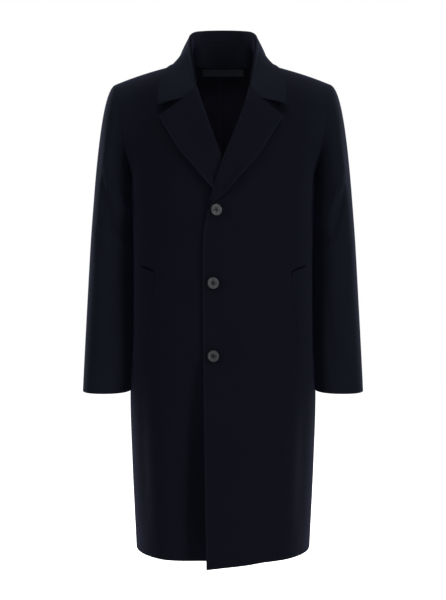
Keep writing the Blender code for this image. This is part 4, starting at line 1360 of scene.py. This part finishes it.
def threadForm(matrix, lift):
    # a wound stem to the cloth, and two strands, each bowed from one hole to the one across
    form = bmesh.new()
    addRod(form, button["stemSides"], button["stemRadius"], lift + 2 * button["gap"], (0, 0, -lift / 2))
    for vert in form.verts:
        vert.tag = True
    height = button["profile"][0][1]
    for (x, y), rise in zip(holePlaces(), button["threadRises"]):
        atHole = Matrix.Translation((button["holeSpread"], 0, 0))
        ring = bmesh.ops.create_circle(form, segments=button["threadSides"],
                                       radius=button["threadRadius"], matrix=atHole)["verts"]
        edges = list(dict.fromkeys(edge for vert in ring for edge in vert.link_edges))
        bmesh.ops.spin(form, geom=ring + edges, cent=(0, 0, 0), axis=(0, -1, 0), dvec=(0, 0, 0),
                       angle=math.pi, steps=button["threadSteps"], use_merge=False)
        strand = [vert for vert in form.verts if not vert.tag]
        bmesh.ops.scale(form, verts=strand, vec=(1, 1, rise))
        bmesh.ops.rotate(form, verts=strand, cent=(0, 0, 0),
                         matrix=Matrix.Rotation(math.atan2(y, x), 3, "Z"))
        bmesh.ops.translate(form, verts=strand, vec=(0, 0, height))
        for vert in strand:
            vert.tag = True
    bmesh.ops.recalc_face_normals(form, faces=form.faces)
    bmesh.ops.transform(form, matrix=matrix, verts=form.verts)
    return form


for k, place in enumerate(button["places"], 1):
    matrix, lift = buttonMatrix(*place)
    piece = meshObject(f"button_{k}_turned", buttonForm(matrix), finishes["horn"])
    cutHoles(piece, matrix)
    dress(piece, "horn", f"button_{k}")
    dress(meshObject(f"button_{k}_thread", threadForm(matrix, lift), finishes["thread"]), "wool")
print("buttons made")


# Floor, light and camera
studio = {
    "floorZ": -1.47,
    "floorSize": 9.0,
    "backdrop": 1.0,  # brightness of floor and background, to the camera alone
    "lights": [  # name, place, aim, width, height, watts
        ("topFront", (0.0, -1.1, 2.4), (0.0, 0.0, -0.30), 1.4, 0.9, 17.0),
        ("topBack", (0.0, 0.7, 2.2), (0.0, 0.0, -0.30), 1.4, 0.6, 35.0),
        ("high", (0.0, -2.6, 2.2), (0.0, 0.0, -0.30), 1.4, 0.9, 18.0),
        ("sideLeft", (-2.2, -1.5, 0.3), (0.0, 0.0, -0.5), 0.8, 2.2, 28.0),
        ("sideRight", (2.2, -1.5, 0.3), (0.0, 0.0, -0.5), 0.8, 2.2, 45.0),
        ("rimLeft", (-1.9, 1.35, 0.2), (0.0, 0.0, -0.5), 0.8, 2.2, 74.0),
        ("rimRight", (1.9, 1.35, 0.2), (0.0, 0.0, -0.5), 0.8, 2.2, 61.0),
    ],
}


def makeStudio():
    form = bmesh.new()
    bmesh.ops.create_grid(form, x_segments=1, y_segments=1, size=studio["floorSize"] / 2)
    bmesh.ops.translate(form, verts=form.verts, vec=(0, 0, studio["floorZ"]))
    material, tree, shader = newFinish("paleFloor", {
        "Base Color": (0.8, 0.8, 0.8, 1), "Roughness": 0.9, "Emission Color": (1, 1, 1, 1)})
    meshObject("studioFloor", form, material)
    world = bpy.data.worlds.new("studio")
    world.use_nodes = True
    bpy.context.scene.world = world
    background = world.node_tree.nodes["Background"]
    background.inputs["Color"].default_value = (1, 1, 1, 1)
    for branch, node, socket in ((tree, shader, "Emission Strength"),
                                 (world.node_tree, background, "Strength")):
        feed(node, socket, add(branch, "ShaderNodeLightPath", {}, {}, 0) * studio["backdrop"])
    for name, place, aim, width, height, watts in studio["lights"]:
        lamp = bpy.data.lights.new(name, "AREA")
        lamp.shape = "RECTANGLE"
        lamp.size = width
        lamp.size_y = height
        lamp.energy = watts
        thing = bpy.data.objects.new(name, lamp)
        thing.location = place
        thing.rotation_euler = (Vector(aim) - Vector(place)).to_track_quat("-Z", "Y").to_euler()
        bpy.context.scene.collection.objects.link(thing)
    bpy.context.scene.view_settings.view_transform = "Standard"


view = {
    "place": (0.0, -3.0, -0.137),
    "pitch": 6.8,
    "focalPixels": 1438.0,
    "imageHeight": 600,
}


def makeCamera():
    lens = bpy.data.cameras.new("photoCamera")
    lens.sensor_fit = "VERTICAL"
    lens.sensor_height = 36.0
    lens.lens = view["focalPixels"] * lens.sensor_height / view["imageHeight"]
    camera = bpy.data.objects.new("photoCamera", lens)
    camera.location = view["place"]
    camera.rotation_euler = (math.radians(90 - view["pitch"]), 0, 0)
    bpy.context.scene.collection.objects.link(camera)
    bpy.context.scene.camera = camera


makeStudio()
makeCamera()
print("studio made")
